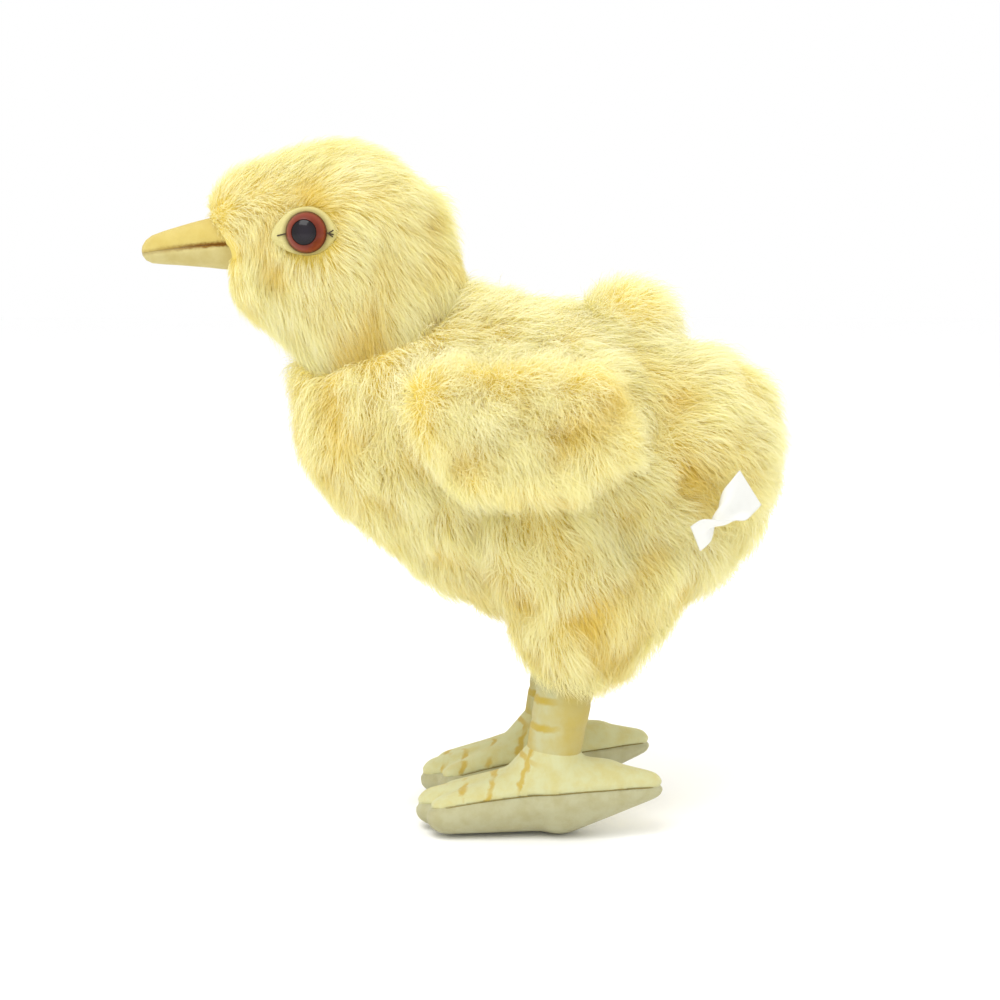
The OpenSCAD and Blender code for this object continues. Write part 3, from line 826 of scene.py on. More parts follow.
def bell(finish, value, centre, width):
    """1 where value is at the centre, 0 past the width on either side."""
    return finish.step(abs(value - centre), width, width * 0.35)


# %% [markdown]
# The beak is one stuffed cone with a mouth seam. A profile is turned about the beak's axis, narrowed
# a little from the sides, bent down towards the tip, and cut along the mouth into two velour halves.
# Cutting one cone keeps the halves in line. Points near the cut are drawn in, as by its stitches.

# %% Beak measures
BEAK_PROFILE = ((-3.5, 6.7), (-1, 6.5), (2, 6.1), (5, 5.55), (8.5, 4.95), (12, 4.3), (15, 3.75),
                (17.6, 3.15), (19.0, 2.3), (19.8, 1.15), (20.05, 0))  # distance ahead of the root, radius
BEAK_WIDE = 0.86  # the beak's width as a share of its height
BEAK_SLOPE, BEAK_BEND = 0.055, 0.0026  # how its axis sinks: straight, and with the square of the way
MOUTH_AT = -0.6  # height of the mouth seam from the axis
MOUTH_PULL, MOUTH_REACH = 0.10, 0.55  # how much the seam draws the cloth in, and how far from it
LIPS_APART = 0.02


def beak_sink(ahead):
    """How far the axis has sunk, some way ahead of the root. Takes a number or a Wire."""
    return ahead * ahead * BEAK_BEND + ahead * BEAK_SLOPE


def mouth_height(ahead):
    """Height of the mouth seam some way ahead of the root. Takes a number or a Wire."""
    return BEAK_ROOT[2] + MOUTH_AT - beak_sink(ahead)


# %% [markdown]
# Round pieces are turned, as on a lathe: spin sweeps a profile about z. They are made where that is easy
# and placed afterwards. A mirrored piece would be inside out, so its faces are turned round again.

# %% Turning and placing


def placed(form, matrix, name):
    """A finished mesh from a form, in its place, with its faces outwards."""
    bmesh.ops.transform(form, matrix=matrix, verts=form.verts)
    if matrix.determinant() < 0:
        bmesh.ops.reverse_faces(form, faces=form.faces)
    mesh = bpy.data.meshes.new(name)
    form.to_mesh(mesh)
    form.free()
    return mesh


def turned(profile, turns=64):
    """A closed skin turned about z from (height, radius) points in millimetres."""
    form = bmesh.new()
    points = [form.verts.new(mm(radius, 0, height)) for height, radius in profile]
    edges = [form.edges.new(pair) for pair in zip(points, points[1:])]
    bmesh.ops.spin(form, geom=points + edges, cent=(0, 0, 0), axis=(0, 0, 1),
                   angle=2 * math.pi, steps=turns, use_merge=True)
    bmesh.ops.remove_doubles(form, verts=form.verts, dist=0.01 * MM)
    bmesh.ops.holes_fill(form, edges=form.edges, sides=0)
    bmesh.ops.recalc_face_normals(form, faces=form.faces)
    return form


# %% Beak form


def beak_form():
    """The whole beak as one closed form in its place."""
    rounds = []
    for (h0, r0), (h1, r1) in zip(BEAK_PROFILE, BEAK_PROFILE[1:]):
        steps = max(1, round(math.hypot(h1 - h0, r1 - r0) / 0.45))
        rounds += [(h0 + (h1 - h0) * k / steps, r0 + (r1 - r0) * k / steps) for k in range(steps)]
    form = turned(rounds + [BEAK_PROFILE[-1]], turns=96)
    # the turned cone points up: lay it forwards, along -y
    bmesh.ops.rotate(form, verts=form.verts, cent=(0, 0, 0), matrix=Matrix.Rotation(math.pi / 2, 3, "X"))
    for point in form.verts:
        x, y, z = point.co / MM
        ahead = -y
        seam = abs(z - MOUTH_AT) / MOUTH_REACH
        drawn_in = 1 - MOUTH_PULL * math.exp(-seam * seam) * min(1, max(0, (18.8 - ahead) / 3))
        x *= BEAK_WIDE * drawn_in
        z = z * (0.97 if z > 0 else 1.0) - beak_sink(ahead)
        point.co = mm(x, y + BEAK_ROOT[1], z + BEAK_ROOT[2])
    return form


def beak_half(name, upper):
    """The velour above or below the mouth seam, closed where it meets the other half."""
    form = beak_form()
    for point in form.verts:  # straighten the mouth seam for one flat cut
        point.co.z -= mouth_height(BEAK_ROOT[1] - point.co.y / MM) * MM
    bmesh.ops.bisect_plane(form, geom=form.verts[:] + form.edges[:] + form.faces[:], dist=1e-7,
                           plane_co=(0, 0, 0), plane_no=(0, 0, 1),
                           clear_inner=upper, clear_outer=not upper)
    bmesh.ops.holes_fill(form, edges=form.edges, sides=0)
    gap = LIPS_APART if upper else -LIPS_APART
    for point in form.verts:
        point.co.z += (mouth_height(BEAK_ROOT[1] - point.co.y / MM) + gap) * MM
    bmesh.ops.recalc_face_normals(form, faces=form.faces)
    return placed(form, Matrix.Identity(4), name)


def beak_inside(name):
    """The stuffing in the beak: the same cone, thinner round the mouth seam and shorter."""
    form = beak_form()
    thinner, shorter = 0.72, 0.9
    for point in form.verts:
        ahead = BEAK_ROOT[1] - point.co.y / MM
        point.co.x *= thinner
        point.co.z = mouth_height(ahead) * MM * (1 - thinner) + point.co.z * thinner
        point.co.y = (BEAK_ROOT[1] - ahead * shorter) * MM
    return placed(form, Matrix.Identity(4), name)


# %% Beak finish


def mouth_marks(finish):
    """Brown sprayed along the mouth, strongest in the corner, with small ragged ends."""
    ahead = BEAK_ROOT[1] - finish.axis("Y")
    away = finish.axis("Z") - mouth_height(ahead)
    ragged = finish.noise(1.6, detail=3) * 0.9
    line = finish.step(abs(away) + ragged, 1.35, 0.6)
    return line * (1.0 - finish.step(ahead, 3, 19) * 0.72)


MOUTH_BROWN = dye(128, 84, 14)
beak_velour = velour_finish("beak_velour", dye(210, 188, 98), dye(200, 174, 74), mouth_marks,
                            MOUTH_BROWN)
beak_under = velour_finish("beak_velour_under", dye(204, 190, 124), dye(188, 168, 90), mouth_marks,
                           MOUTH_BROWN)
for half, is_upper, velour in (("upper", True, beak_velour), ("lower", False, beak_under)):
    name = "beak_velour_" + half
    show(name, beak_half(name, is_upper), velour, "head", replaces=("beak_" + half,))

beak_core = show("beak_stuffing", beak_inside("beak_stuffing"), fibre, "head",
                 replaces=("beak_filling",))

# %% [markdown]
# ## Eyes
# A safety eye is a polished plastic dome on a stem. The iris ring and the pupil are turned on one axis
# that looks out of the side of the head, and a clear coat gives them the wet gloss.

# %% Eye frame
LID_FACE = 0.8  # thickness of the felt lid in the frame, where the dome starts
EYE_TURN = 6  # degrees that the eye looks ahead
EYE_RADIUS, EYE_DOME, PUPIL_RADIUS = 4.5, 3.4, 2.75
EYE_CENTRE = Vector((20.56, -33.92, 132.84)) * MM


def eye_frame(side):
    """Takes points made round z, looking up it, to the eye: x becomes down, and y backwards."""
    look = Matrix.Rotation(math.radians(-EYE_TURN), 4, "Z") @ Matrix.Rotation(math.pi / 2, 4, "Y")
    there = Matrix.Translation(EYE_CENTRE) @ look
    return there if side > 0 else Matrix.Diagonal((-1, 1, 1, 1)) @ there


def arc(centre_height, radius, start, end, steps):
    """(height, radius) points along a round profile, angles in degrees from the axis."""
    angles = [math.radians(start + (end - start) * k / steps) for k in range(steps + 1)]
    return [(centre_height + radius * math.cos(a), radius * math.sin(a)) for a in angles]


DOME_RADIUS = (EYE_RADIUS**2 + EYE_DOME**2) / (2 * EYE_DOME)
DOME_MIDDLE = LID_FACE + EYE_DOME - DOME_RADIUS
RIM_ANGLE = math.degrees(math.asin(EYE_RADIUS / DOME_RADIUS))
PUPIL_ANGLE = math.degrees(math.asin(PUPIL_RADIUS / DOME_RADIUS))

# %% Eye finishes


def eye_distance(finish):
    """Distance from the eye's axis, in millimetres."""
    back = finish.axis("Y") - EYE_CENTRE.y / MM
    up = finish.axis("Z") - EYE_CENTRE.z / MM
    return (back * back + up * up) ** 0.5


def iris_finish():
    finish = Finish("iris_plastic")
    away = eye_distance(finish)
    streak = finish.noise(0.9, detail=4)
    colour = finish.mix(finish.step(away + streak * 0.7, 2.6, 4.4), dye(96, 32, 12), dye(128, 50, 26))
    colour = finish.mix(finish.step(away, 3.9, 4.5), colour, dye(62, 20, 10))
    return finish.done(finish.principled(Base_Color=colour, Roughness=0.35, Specular_IOR_Level=0.15,
                                         Coat_Weight=0.25, Coat_Roughness=0.1))


def pupil_finish():
    finish = Finish("pupil_plastic")
    # the pupil is lighter and bluer in its middle than at its edge: a painted reflection
    depth = finish.step(eye_distance(finish), 0.6, 2.75)
    colour = finish.mix(depth, dye(30, 24, 32), dye(12, 6, 8))
    return finish.done(finish.principled(Base_Color=colour, Roughness=0.2, Specular_IOR_Level=0.15,
                                         Coat_Weight=0.3, Coat_Roughness=0.06))


iris_plastic, pupil_plastic = iris_finish(), pupil_finish()

# %% Iris and pupil
SINK = 0.12  # the pupil's edge lies this far below the iris
STEM_END, STEM_RADIUS = -7.2, 1.5  # the stem goes through the cloth to the washer
SEAT = LID_FACE + 1.4  # height of the recess that holds the pupil
iris_profile = [(STEM_END, 0), (STEM_END, STEM_RADIUS), (0.1, STEM_RADIUS), (0.1, 4.2)]
iris_profile += [(LID_FACE, EYE_RADIUS)] + arc(DOME_MIDDLE, DOME_RADIUS, RIM_ANGLE, PUPIL_ANGLE, 14)
iris_profile += [(SEAT, PUPIL_RADIUS), (SEAT, 0)]
pupil_profile = [(SEAT + 0.05, 0), (SEAT + 0.05, PUPIL_RADIUS - 0.05)]
pupil_profile += arc(DOME_MIDDLE - SINK, DOME_RADIUS, PUPIL_ANGLE - 0.5, 0, 14)

for side_name, side in SIDES:
    for part, profile, plastic, slot in (("eye", iris_profile, iris_plastic, "iris_plastic"),
                                         ("pupil", pupil_profile, pupil_plastic, "pupil_plastic")):
        name = f"{part}_dome_{side_name}"
        show(name, placed(turned(profile, 72), eye_frame(side), name), plastic, "head",
             replaces=(f"{part}_{side_name}",))


# %% [markdown]
# The lid is a cream felt almond under the eye, with its points drawn out ahead and behind. Dark stitches
# hold them: one ahead, and three behind that spread like lashes. The felt is six rings of points that
# bridge_loops joins, from the rim to under the eye, and solidify gives it its thickness.

# %% Lid shape
LID_AHEAD, LID_BEHIND, LID_ABOVE, LID_BELOW = 8.2, 6.6, 5.6, 4.9
LID_RINGS = ((1.0, -1.6), (0.92, -0.6), (0.72, 0.15), (0.4, 0.6), (0.12, 0.7), (0, 0.4))  # reach, height
LID_HOLE = 4.0  # radius of the innermost ring, under the eye
CORNER_STITCHES = (((0.7, -6.4, 0.5), (0.25, -4.3, 1.1)), ((0.5, 6.0, 0.6), (0.1, 4.4, 1.1)),
                   ((-0.5, 5.9, 0.6), (0.2, 4.9, 1.2)), ((1.0, 5.8, 0.6), (0.1, 4.7, 1.0)))


def lid_edge(angle, reach):
    """A point on the almond, where angle 0 is ahead. reach is 1 at the outer edge and 0 at the hole."""
    ahead, up = math.cos(angle), math.sin(angle)
    long = LID_AHEAD if ahead > 0 else LID_BEHIND
    high = LID_ABOVE if up > 0 else LID_BELOW
    pointed = 1 - abs(ahead) ** 3 * 0.32
    droop = -0.9 * max(0, ahead) ** 3
    across = ahead * long * (1 - (1 - reach) * (long - LID_HOLE) / long)
    over = up * (high * pointed * reach + LID_HOLE * (1 - reach)) + droop * reach
    return -over, -across


def lid_form():
    form = bmesh.new()
    rings = []
    angles = [2 * math.pi * k / 72 for k in range(72)]
    for reach, height in LID_RINGS:
        points = [form.verts.new(mm(*lid_edge(a, reach), height)) for a in angles]
        rings.append([form.edges.new(pair) for pair in zip(points, points[1:] + points[:1])])
    for outer, inner in zip(rings, rings[1:]):
        bmesh.ops.bridge_loops(form, edges=outer + inner)
    bmesh.ops.recalc_face_normals(form, faces=form.faces)
    if sum(face.normal.z for face in form.faces) < 0:
        bmesh.ops.reverse_faces(form, faces=form.faces)
    bmesh.ops.solidify(form, geom=form.faces[:], thickness=0.45 * MM)
    return form


# %% Felt and thread


def felt_finish():
    finish = Finish("eyelid_felt")
    grain = finish.noise(4.5, detail=4)
    away = eye_distance(finish)
    colour = finish.mix(grain, dye(222, 212, 150), dye(200, 188, 118))
    # darker olive close to the eye: painted shade round the dome
    colour = finish.mix(finish.step(away, 5.6, 4.4) * 0.7, colour, dye(140, 120, 70))
    return finish.done(finish.principled(Base_Color=colour, Roughness=0.9, Specular_IOR_Level=0.1,
                                         Normal=finish.bump(grain, 0.2)))


def thread_finish(name, colour):
    finish = Finish(name)
    twist = finish.noise(6, detail=2)
    tone = finish.mix(twist * 0.5, colour, dye(90, 80, 50))
    return finish.done(finish.principled(Base_Color=tone, Roughness=0.7,
                                         Normal=finish.bump(twist, 0.1)))


eyelid_felt = felt_finish()
dark_thread = thread_finish("dark_thread", dye(58, 42, 16))

# %% Stitches, and the lids in place


def stitch(form, start, end, radius):
    """A short round thread from start to end, in millimetres, with rounded ends."""
    a, b = mm(*start), mm(*end)
    turn = (b - a).to_track_quat("Z", "Y").to_matrix().to_4x4()
    middle = Matrix.Translation((a + b) / 2) @ turn
    made = bmesh.ops.create_cone(form, cap_ends=True, segments=10, radius1=radius * MM,
                                 radius2=radius * MM, depth=(b - a).length, matrix=middle)
    rim = {e for v in made["verts"] for e in v.link_edges if len(e.link_faces) == 2
           and abs(e.link_faces[0].normal.dot(e.link_faces[1].normal)) < 0.5}
    bmesh.ops.bevel(form, geom=list(rim), offset=radius * 0.6 * MM, segments=2, profile=0.5,
                    material=-1, affect="EDGES")


for side_name, side in SIDES:
    name = "eyelid_felt_" + side_name
    show(name, placed(lid_form(), eye_frame(side), name), eyelid_felt, "head",
         replaces=("eyelid_" + side_name,))
    corners = bmesh.new()
    for start, end in CORNER_STITCHES:
        stitch(corners, start, end, radius=0.16)
    name = "corner_stitches_" + side_name
    show(name, placed(corners, eye_frame(side), name), dark_thread, "head")


# %% [markdown]
# ## Legs and feet
# A leg is a velour sleeve over wire, drawn in a little at each sprayed band. Its round ends turn inside
# the thigh and the foot. One profile is spun about the line from ankle to hip, since a stuffed tube is
# round all the way.

# %% Leg sleeves
ANKLE, ANKLE_RADIUS = Vector((17, 18.95, 16.5)), 5.95
HIP, HIP_RADIUS = Vector((17, 23.45, 42.0)), 6.75
LEG_BANDS = (24.8, 30.8)  # heights of the sprayed bands
BAND_PULL, BAND_REACH = 0.22, 0.7  # how deep and how far up and down a band draws the sleeve in
LEG_RINGS = 60


def leg_form():
    length = (HIP - ANKLE).length
    profile = arc(0, ANKLE_RADIUS, 180, 90, 10)
    for k in range(1, LEG_RINGS):
        along = k / LEG_RINGS
        radius = ANKLE_RADIUS + (HIP_RADIUS - ANKLE_RADIUS) * along
        height = ANKLE.z + (HIP.z - ANKLE.z) * along
        pinch = sum(math.exp(-((height - band) / BAND_REACH) ** 2) for band in LEG_BANDS)
        profile.append((along * length, radius - BAND_PULL * pinch))
    profile += arc(length, HIP_RADIUS, 90, 0, 10)
    form = turned(profile, 64)
    turn = (HIP - ANKLE).to_track_quat("Z", "Y").to_matrix().to_4x4()
    bmesh.ops.transform(form, matrix=Matrix.Translation(ANKLE * MM) @ turn, verts=form.verts)
    return form


def leg_marks(finish):
    """Ochre bands round the front, a line down the shin and a soft shade on the calf."""
    height, back = finish.axis("Z"), finish.axis("Y")
    ragged = finish.noise(0.5, detail=4)
    bands = sum(bell(finish, height + ragged * 1.4 - 0.7, band, 1.15) for band in LEG_BANDS)
    front = finish.step(back + ragged * 3, 25, 18)
    shin = finish.step(back + ragged * 2.5, 17.2, 14.6) * 0.8
    calf = finish.step(back + ragged * 2, 19, 24) * 0.65
    return (bands * front).either(shin).either(calf) * 0.75


leg_velour = velour_finish("leg_velour", dye(194, 192, 144), dye(190, 176, 102), leg_marks,
                           dye(192, 162, 24))
for side_name, side in SIDES:
    mirror = Matrix.Diagonal((side, 1, 1, 1))
    name = "leg_velour_" + side_name
    show(name, placed(leg_form(), mirror, name), leg_velour, "leg_" + side_name,
         replaces=("leg_sleeve_" + side_name,))


# %% [markdown]
# A foot is three stuffed toes, a heel and an instep, sewn from a pale upper and a greyer sole. The lumps
# are melted to one skin and pressed flat by the floor. The seam runs up from the toes to the heel in a
# low curve, and both pieces bulge away from it, as stuffed cloth does from a seam. The skin is lowered
# by the seam's height, so that one flat cut follows the curve, and then raised again.

# %% Foot shape
TOE_IN = 8  # degrees that a foot turns inwards
TOES = ((-16, 23.5, 4.4, 8.2), (0, 26.3, 4.4, 8.4), (16, 23.5, 4.4, 8.2))  # angle, reach, two radii
KNUCKLE = 0.55  # share of a toe's reach where its knuckle lies
SEAM_TOE, SEAM_HEEL, SEAM_RUN = 5.4, 11.6, 54  # heights of the seam at both ends, and its run
SEAM_START = 31  # millimetres from the ankle forwards to the seam's toe end
SEAM_PULL, SEAM_REACH = 0.55, 0.55  # how deep the seam's groove is, and how far it reaches
SOLE_BULGE, BULGE_BELOW, BULGE_REACH = 0.45, 3.2, 2.2  # how the sole swells below the seam


def seam_height(y):
    """Height of the seam, y millimetres behind the ankle (toes are negative)."""
    run = min(1.0, max(0.0, (y + SEAM_START) / SEAM_RUN))
    return SEAM_TOE + (SEAM_HEEL - SEAM_TOE) * (1 - (1 - run) ** 2.1)


def foot_skin():
    lumps = []
    for angle, reach, tip, root in TOES:
        x, y = math.sin(math.radians(angle)), -math.cos(math.radians(angle))
        knuckle = (x * reach * KNUCKLE, y * reach * KNUCKLE, 6.6, 6.1)
        lumps.append(lump((0, -2, 8.6, root), knuckle))
        lumps.append(lump(knuckle, (x * reach, y * reach, 4.9, tip)))
    lumps.append(lump((0, 1.5, 8.8, 9.0), (0, 12, 10.6, 6.4)))  # heel
    lumps.append(lump((0, 12, 10.4, 6.2), (0, 21.6, 11.5, 3.2)))  # hind toe
    lumps.append(lump((0, -4, 9.5, 8.0), (0, 0, 15.2, 7.3)))  # instep
    return melt("foot_skin", lumps, voxel=0.7, smoothing=5)


foot_mesh = foot_skin()


def foot_frame(side):
    """Takes a foot made round the origin to its ankle, turned inwards and mirrored for the right."""
    there = Matrix.Translation(mm(ANKLE.x, ANKLE.y, 0)) @ Matrix.Rotation(math.radians(-TOE_IN), 4, "Z")
    return there if side > 0 else Matrix.Diagonal((-1, 1, 1, 1)) @ there


# %% Foot halves


def foot_half(name, side, upper):
    """The velour above or below the seam, closed along the seam by a hidden face."""
    form = bmesh.new()
    form.from_mesh(foot_mesh)
    form.normal_update()
    for point in form.verts:
        above = point.co.z / MM - seam_height(point.co.y / MM)
        groove = SEAM_PULL * math.exp(-((above / SEAM_REACH) ** 2))
        swell = SOLE_BULGE * math.exp(-(((above + BULGE_BELOW) / BULGE_REACH) ** 2))
        point.co -= Vector((point.normal.x, point.normal.y, 0)) * (groove - swell) * MM
        point.co.z = max(point.co.z, 0)
    for point in form.verts:
        point.co.z -= seam_height(point.co.y / MM) * MM
    bmesh.ops.bisect_plane(form, geom=form.verts[:] + form.edges[:] + form.faces[:], dist=1e-7,
                           plane_co=(0, 0, 0), plane_no=(0, 0, 1),
                           clear_inner=upper, clear_outer=not upper)
    bmesh.ops.holes_fill(form, edges=form.edges, sides=0)
    bmesh.ops.triangulate(form, faces=[face for face in form.faces if len(face.verts) > 4])
    for point in form.verts:
        point.co.z += seam_height(point.co.y / MM) * MM
    bmesh.ops.recalc_face_normals(form, faces=form.faces)
    return placed(form, foot_frame(side), name)


# %% [markdown]
# The feet's velour is the same cloth as the legs', with dashes sprayed across the toes. Their seam is
# sewn with olive thread. Each stitch is a small rod along the line where a flat cut meets the skin.

# %% Foot finishes
TOE_DASHES = (-8.6, -4.4, 1.4, 7.6)  # places of the sprayed dashes along the toes, in millimetres


def toe_marks(finish):
    """Broken ochre dashes across the toes and one line round the ankle."""
    back, height = finish.axis("Y"), finish.axis("Z")
    ragged = finish.noise(0.45, detail=4)
    along = back + ragged * 2.6 - 1.3 - height * 0.35
    dashes = sum(bell(finish, along, place, 0.95) for place in TOE_DASHES)
    broken = finish.step(finish.noise(0.16, detail=1), 0.44, 0.56)
    ankle_line = bell(finish, height + (back - 10) * 0.42 + ragged, 19.6, 0.9)
    ankle_line = ankle_line * finish.step(back, 17, 12)
    on_top = finish.step(height - back * 0.11, 6.4, 8.4)
    return (dashes * broken * on_top).either(ankle_line) * 0.7


foot_velour = velour_finish("foot_velour", dye(208, 208, 158), dye(202, 190, 114), toe_marks,
                            dye(196, 160, 12))
sole_velour = velour_finish("sole_velour", dye(182, 180, 142), dye(166, 158, 110))
olive_thread = thread_finish("olive_thread", dye(150, 134, 66))

# %% Foot seam and stuffing
STITCH_LONG, STITCH_RADIUS = 0.85, 0.12
LONGEST_STITCH = 2.5  # between two toes the cut jumps, and no stitch is laid
SUNK = 0.965  # the thread lies this share of the way out, in the groove of the seam


def seam_stitches(side, name):
    """A row of stitches along the foot's seam, each following the skin."""
    form = bmesh.new()
    form.from_mesh(foot_mesh)
    for point in form.verts:
        point.co.z -= seam_height(point.co.y / MM) * MM
    cut = bmesh.ops.bisect_plane(form, geom=form.verts[:] + form.edges[:] + form.faces[:], dist=1e-7,
                                 plane_co=(0, 0, 0), plane_no=(0, 0, 1))
    ring = [e for e in cut["geom_cut"] if isinstance(e, bmesh.types.BMEdge)]
    line = [(v.co.x / MM, v.co.y / MM) for v in
            sorted({v for e in ring for v in e.verts}, key=lambda v: math.atan2(v.co.x, -v.co.y))]
    form.free()
    stitches = bmesh.new()
    places, walked = [line[0]], 0.0
    for here, ahead in zip(line, line[1:] + line[:1]):
        walked += math.dist(here, ahead)
        if walked > STITCH_LONG:
            places.append(ahead)
            walked = 0.0
    for start, end in zip(places, places[1:] + places[:1]):
        draw = [(x * SUNK, y * SUNK, seam_height(y)) for x, y in (start, end)]
        if math.dist(draw[0], draw[1]) < LONGEST_STITCH:
            stitch(stitches, draw[0], draw[1], STITCH_RADIUS)
    return placed(stitches, foot_frame(side), name)


def foot_inside(side, name):
    """The stuffing in a foot, a little inside both pieces of cloth."""
    form = bmesh.new()
    form.from_mesh(foot_mesh)
    form.normal_update()
    for point in form.verts:
        point.co -= point.normal * 1.3 * MM
        point.co.z = max(point.co.z, 0.6 * MM)
    return placed(form, foot_frame(side), name)


# %% Feet in place
for side_name, side in SIDES:
    body = "foot_" + side_name
    name = "foot_stuffing_" + side_name
    inside = show(name, foot_inside(side, name), fibre, body,
                  replaces=("foot_filling_" + side_name,))
    for half, velour, slot in (("upper", foot_velour, "leg_velour"),
                               ("sole", sole_velour, "sole_velour")):
        name = f"foot_velour_{half}_{side_name}"
        show(name, foot_half(name, side, half == "upper"), velour, body,
             replaces=(f"foot_{half}_{side_name}",))
    name = "foot_seam_" + side_name
    show(name, seam_stitches(side, name), olive_thread, body)


# %% [markdown]
# ## Care label
# The label is a strip of white satin ribbon, sewn in at its tail end and left blank. It starts as a flat
# grid. A twist of nearly half a turn and a fold in its middle make the bow-tie outline, and a soft bend
# lifts it off the pile. The fold draws it in without stretching it, as real ribbon can't stretch.

# %% Label shape
LABEL_WIDE, LABEL_LONG = 10.0, 17.0
LABEL_ROOT = mm(24.18, 60.95, 78.4)  # the middle of the sewn end
LABEL_RUN = Vector((0.2067, -0.7714, -0.6018))  # the way that the ribbon hangs
LABEL_ACROSS = Vector((0.1558, -0.5813, 0.7986))
LABEL_OUT = LABEL_ACROSS.cross(LABEL_RUN)
START_TURN, FULL_TWIST = 12, 152  # degrees: how the sewn end lies, and how far the ribbon turns from there
TIGHTEST = 0.58  # the place along the ribbon where the fold is tightest
FOLD = 0.62 * math.pi


def ease(value, low, high):
    """0 below low, 1 above high, smooth between, for one number."""
    t = min(1, max(0, (value - low) / (high - low)))
    return t * t * (3 - 2 * t)


def label_form():
    form = bmesh.new()
    bmesh.ops.create_grid(form, x_segments=20, y_segments=56, size=0.5)
    for point in form.verts:
        across, along = point.co.x * LABEL_WIDE, 0.5 - point.co.y
        twist = math.radians(START_TURN) - math.radians(FULL_TWIST) * ease(along, 0.15, 0.85)
        gather = ease(along, 0.0, TIGHTEST) * (1 - ease(along, TIGHTEST, 1.0))
        fold = FOLD * gather
        width = across * (math.sin(fold) / fold if fold > 0.01 else 1)
        depth = 1.3 * gather * math.sin(across / LABEL_WIDE * 2 * math.pi)
        arch = 1.0 + 1.6 * math.sin(math.pi * along) + 3.0 * along
        u = width * math.cos(twist) - depth * math.sin(twist)
        w = width * math.sin(twist) + depth * math.cos(twist) + arch
        point.co = LABEL_ROOT + (LABEL_RUN * along * LABEL_LONG + LABEL_ACROSS * u + LABEL_OUT * w) * MM
    bmesh.ops.recalc_face_normals(form, faces=form.faces)
    return form


# %% Label satin, and the label in place
WEAVE = 22  # radians of thread wave in a millimetre


def satin_finish():
    finish = Finish("label_satin")
    weave = (finish.axis("Z") * WEAVE).wave() * (finish.axis("Y") * WEAVE).wave()
    soft = finish.noise(0.4, detail=2)
    colour = finish.mix(soft * 0.7 + weave * 0.05, dye(230, 230, 225), dye(220, 220, 212))
    return finish.done(finish.principled(Base_Color=colour, Roughness=0.42,
                                         Normal=finish.bump(weave, 0.03, 0.5)))


label_mesh = placed(label_form(), Matrix.Identity(4), "care_label_ribbon")
label_piece = show("care_label_ribbon", label_mesh, satin_finish(), "label",
                   replaces=("care_label",))
ribbon = label_piece.modifiers.new("thickness", "SOLIDIFY")
ribbon.thickness, ribbon.offset = 0.25 * MM, 0

# %% [markdown]
# ## Inside and under
# The armature wires, the insole boards, the eye washers and the leg fillings keep the frame's own meshes,
# so they only need finishes. The seam that closes the body after stuffing is laid again on the skin: a
# ray sent down from inside the torso finds where each stitch meets the cloth.

# %% Hidden finishes


def plain_finish(name, colour, other, per_mm, **inputs):
    finish = Finish(name)
    grain = finish.noise(per_mm, detail=4)
    return finish.done(finish.principled(Base_Color=finish.mix(grain, colour, other),
                                         Normal=finish.bump(grain, 0.05), **inputs))


wire = plain_finish("wire", dye(176, 178, 180), dye(150, 152, 156), 0.8, Metallic=1.0, Roughness=0.35)
board = plain_finish("insole_board", dye(176, 150, 112), dye(150, 126, 92), 1.2, Roughness=0.9)
washer = plain_finish("washer_plastic", dye(232, 232, 228), dye(222, 222, 218), 0.5, Roughness=0.5)
for node_name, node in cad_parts.items():
    inner = {"wire": wire, "insole": board, "washer": washer, "filling": fibre}
    used = [finish for word, finish in inner.items() if word in node_name]
    if used and not node.hide_render:
        node.data.materials.clear()
        node.data.materials.append(used[0])


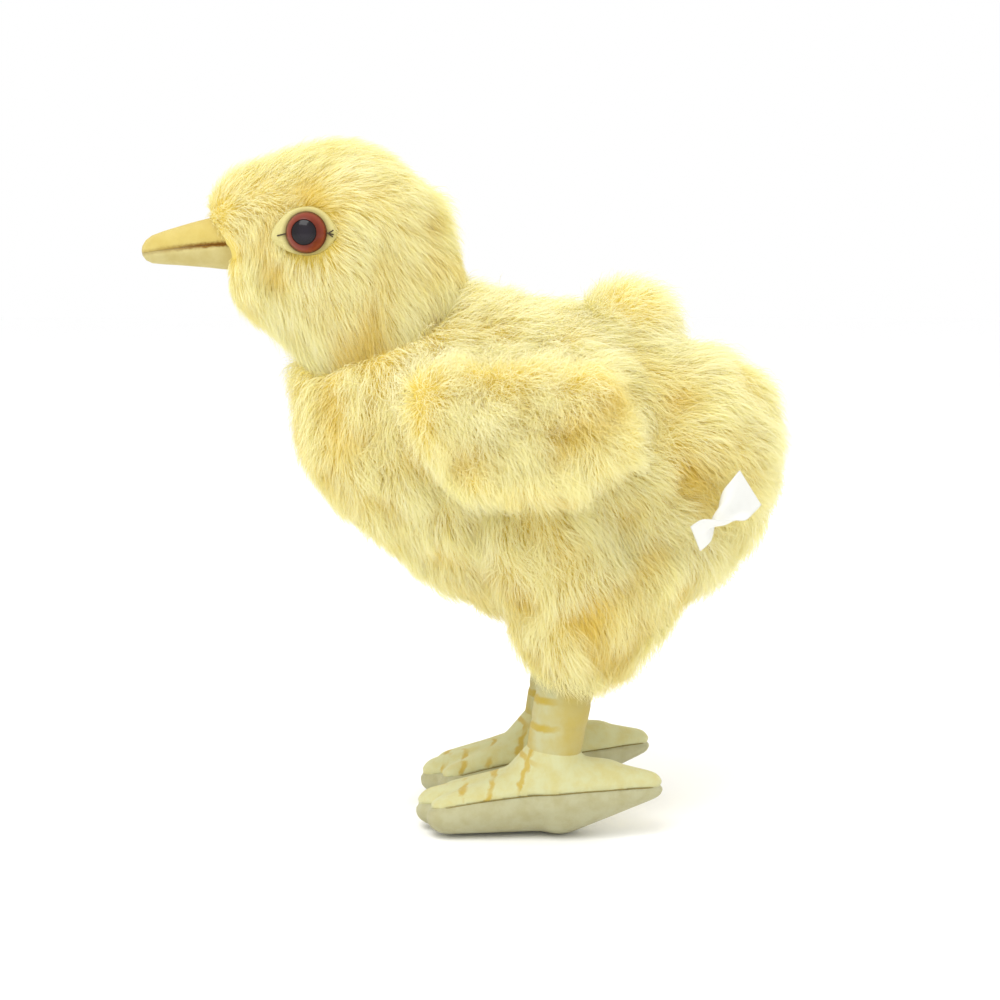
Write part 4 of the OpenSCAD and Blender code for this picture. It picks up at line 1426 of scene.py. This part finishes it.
# %% Closing seam
CLOSING_STITCHES, FIRST_AT, STITCH_STEP = 6, 13.0, 3.2
INSIDE_HEIGHT = 66
closing = bmesh.new()
for k in range(CLOSING_STITCHES):
    y = FIRST_AT + STITCH_STEP * k
    ends = [torso_cloth.ray_cast(mm(x, y + lean, INSIDE_HEIGHT), Vector((0, 0, -1)))[1] / MM
            for x, lean in ((-2, -0.5), (2, 0.5))]
    stitch(closing, ends[0], ends[1], radius=0.3)
cream_thread = thread_finish("cream_thread", dye(226, 208, 130))
show("closing_stitches", placed(closing, Matrix.Identity(4), "closing_stitches"), cream_thread,
     "torso", replaces=("closing_seam",))


# %% [markdown]
# ## Studio
# A white floor and white surroundings give a bright, even light, which suits a pale toy. One broad lamp
# above and in front models the form, and a weaker one fills from the far side.

# %% Floor and lights


def floor_finish():
    finish = Finish("studio_floor")
    grain = finish.noise(0.02, detail=2)
    colour = finish.mix(grain * 0.3, dye(255, 255, 255), dye(253, 253, 253))
    return finish.done(finish.principled(Base_Color=colour, Roughness=0.9, Specular_IOR_Level=0.1))


disc = bmesh.new()
bmesh.ops.create_circle(disc, cap_ends=True, segments=96, radius=4)
floor_mesh = bpy.data.meshes.new("studio_floor")
disc.to_mesh(floor_mesh)
disc.free()
floor = bpy.data.objects.new("studio_floor", floor_mesh)
bpy.context.collection.objects.link(floor)
floor_mesh.materials.append(floor_finish())

world = bpy.data.worlds.new("studio")
bpy.context.scene.world = world
world.use_nodes = True
world.node_tree.nodes["Background"].inputs["Color"].default_value = (1, 1, 1, 1)
world.node_tree.nodes["Background"].inputs["Strength"].default_value = 1.0


def lamp(name, place, size, power):
    """A square lamp that faces the chick's middle. size is in metres and power in watts."""
    light = bpy.data.objects.new(name, bpy.data.lights.new(name, "AREA"))
    light.data.size, light.data.energy = size, power
    light.location = place
    light.rotation_euler = (mm(0, 0, 80) - place).to_track_quat("-Z", "Y").to_euler()
    bpy.context.collection.objects.link(light)


lamp("key", mm(420, -200, 850), 0.6, 4.5)
lamp("fill", mm(-500, 400, 500), 0.6, 1.5)
bpy.context.scene.view_settings.view_transform = "Standard"
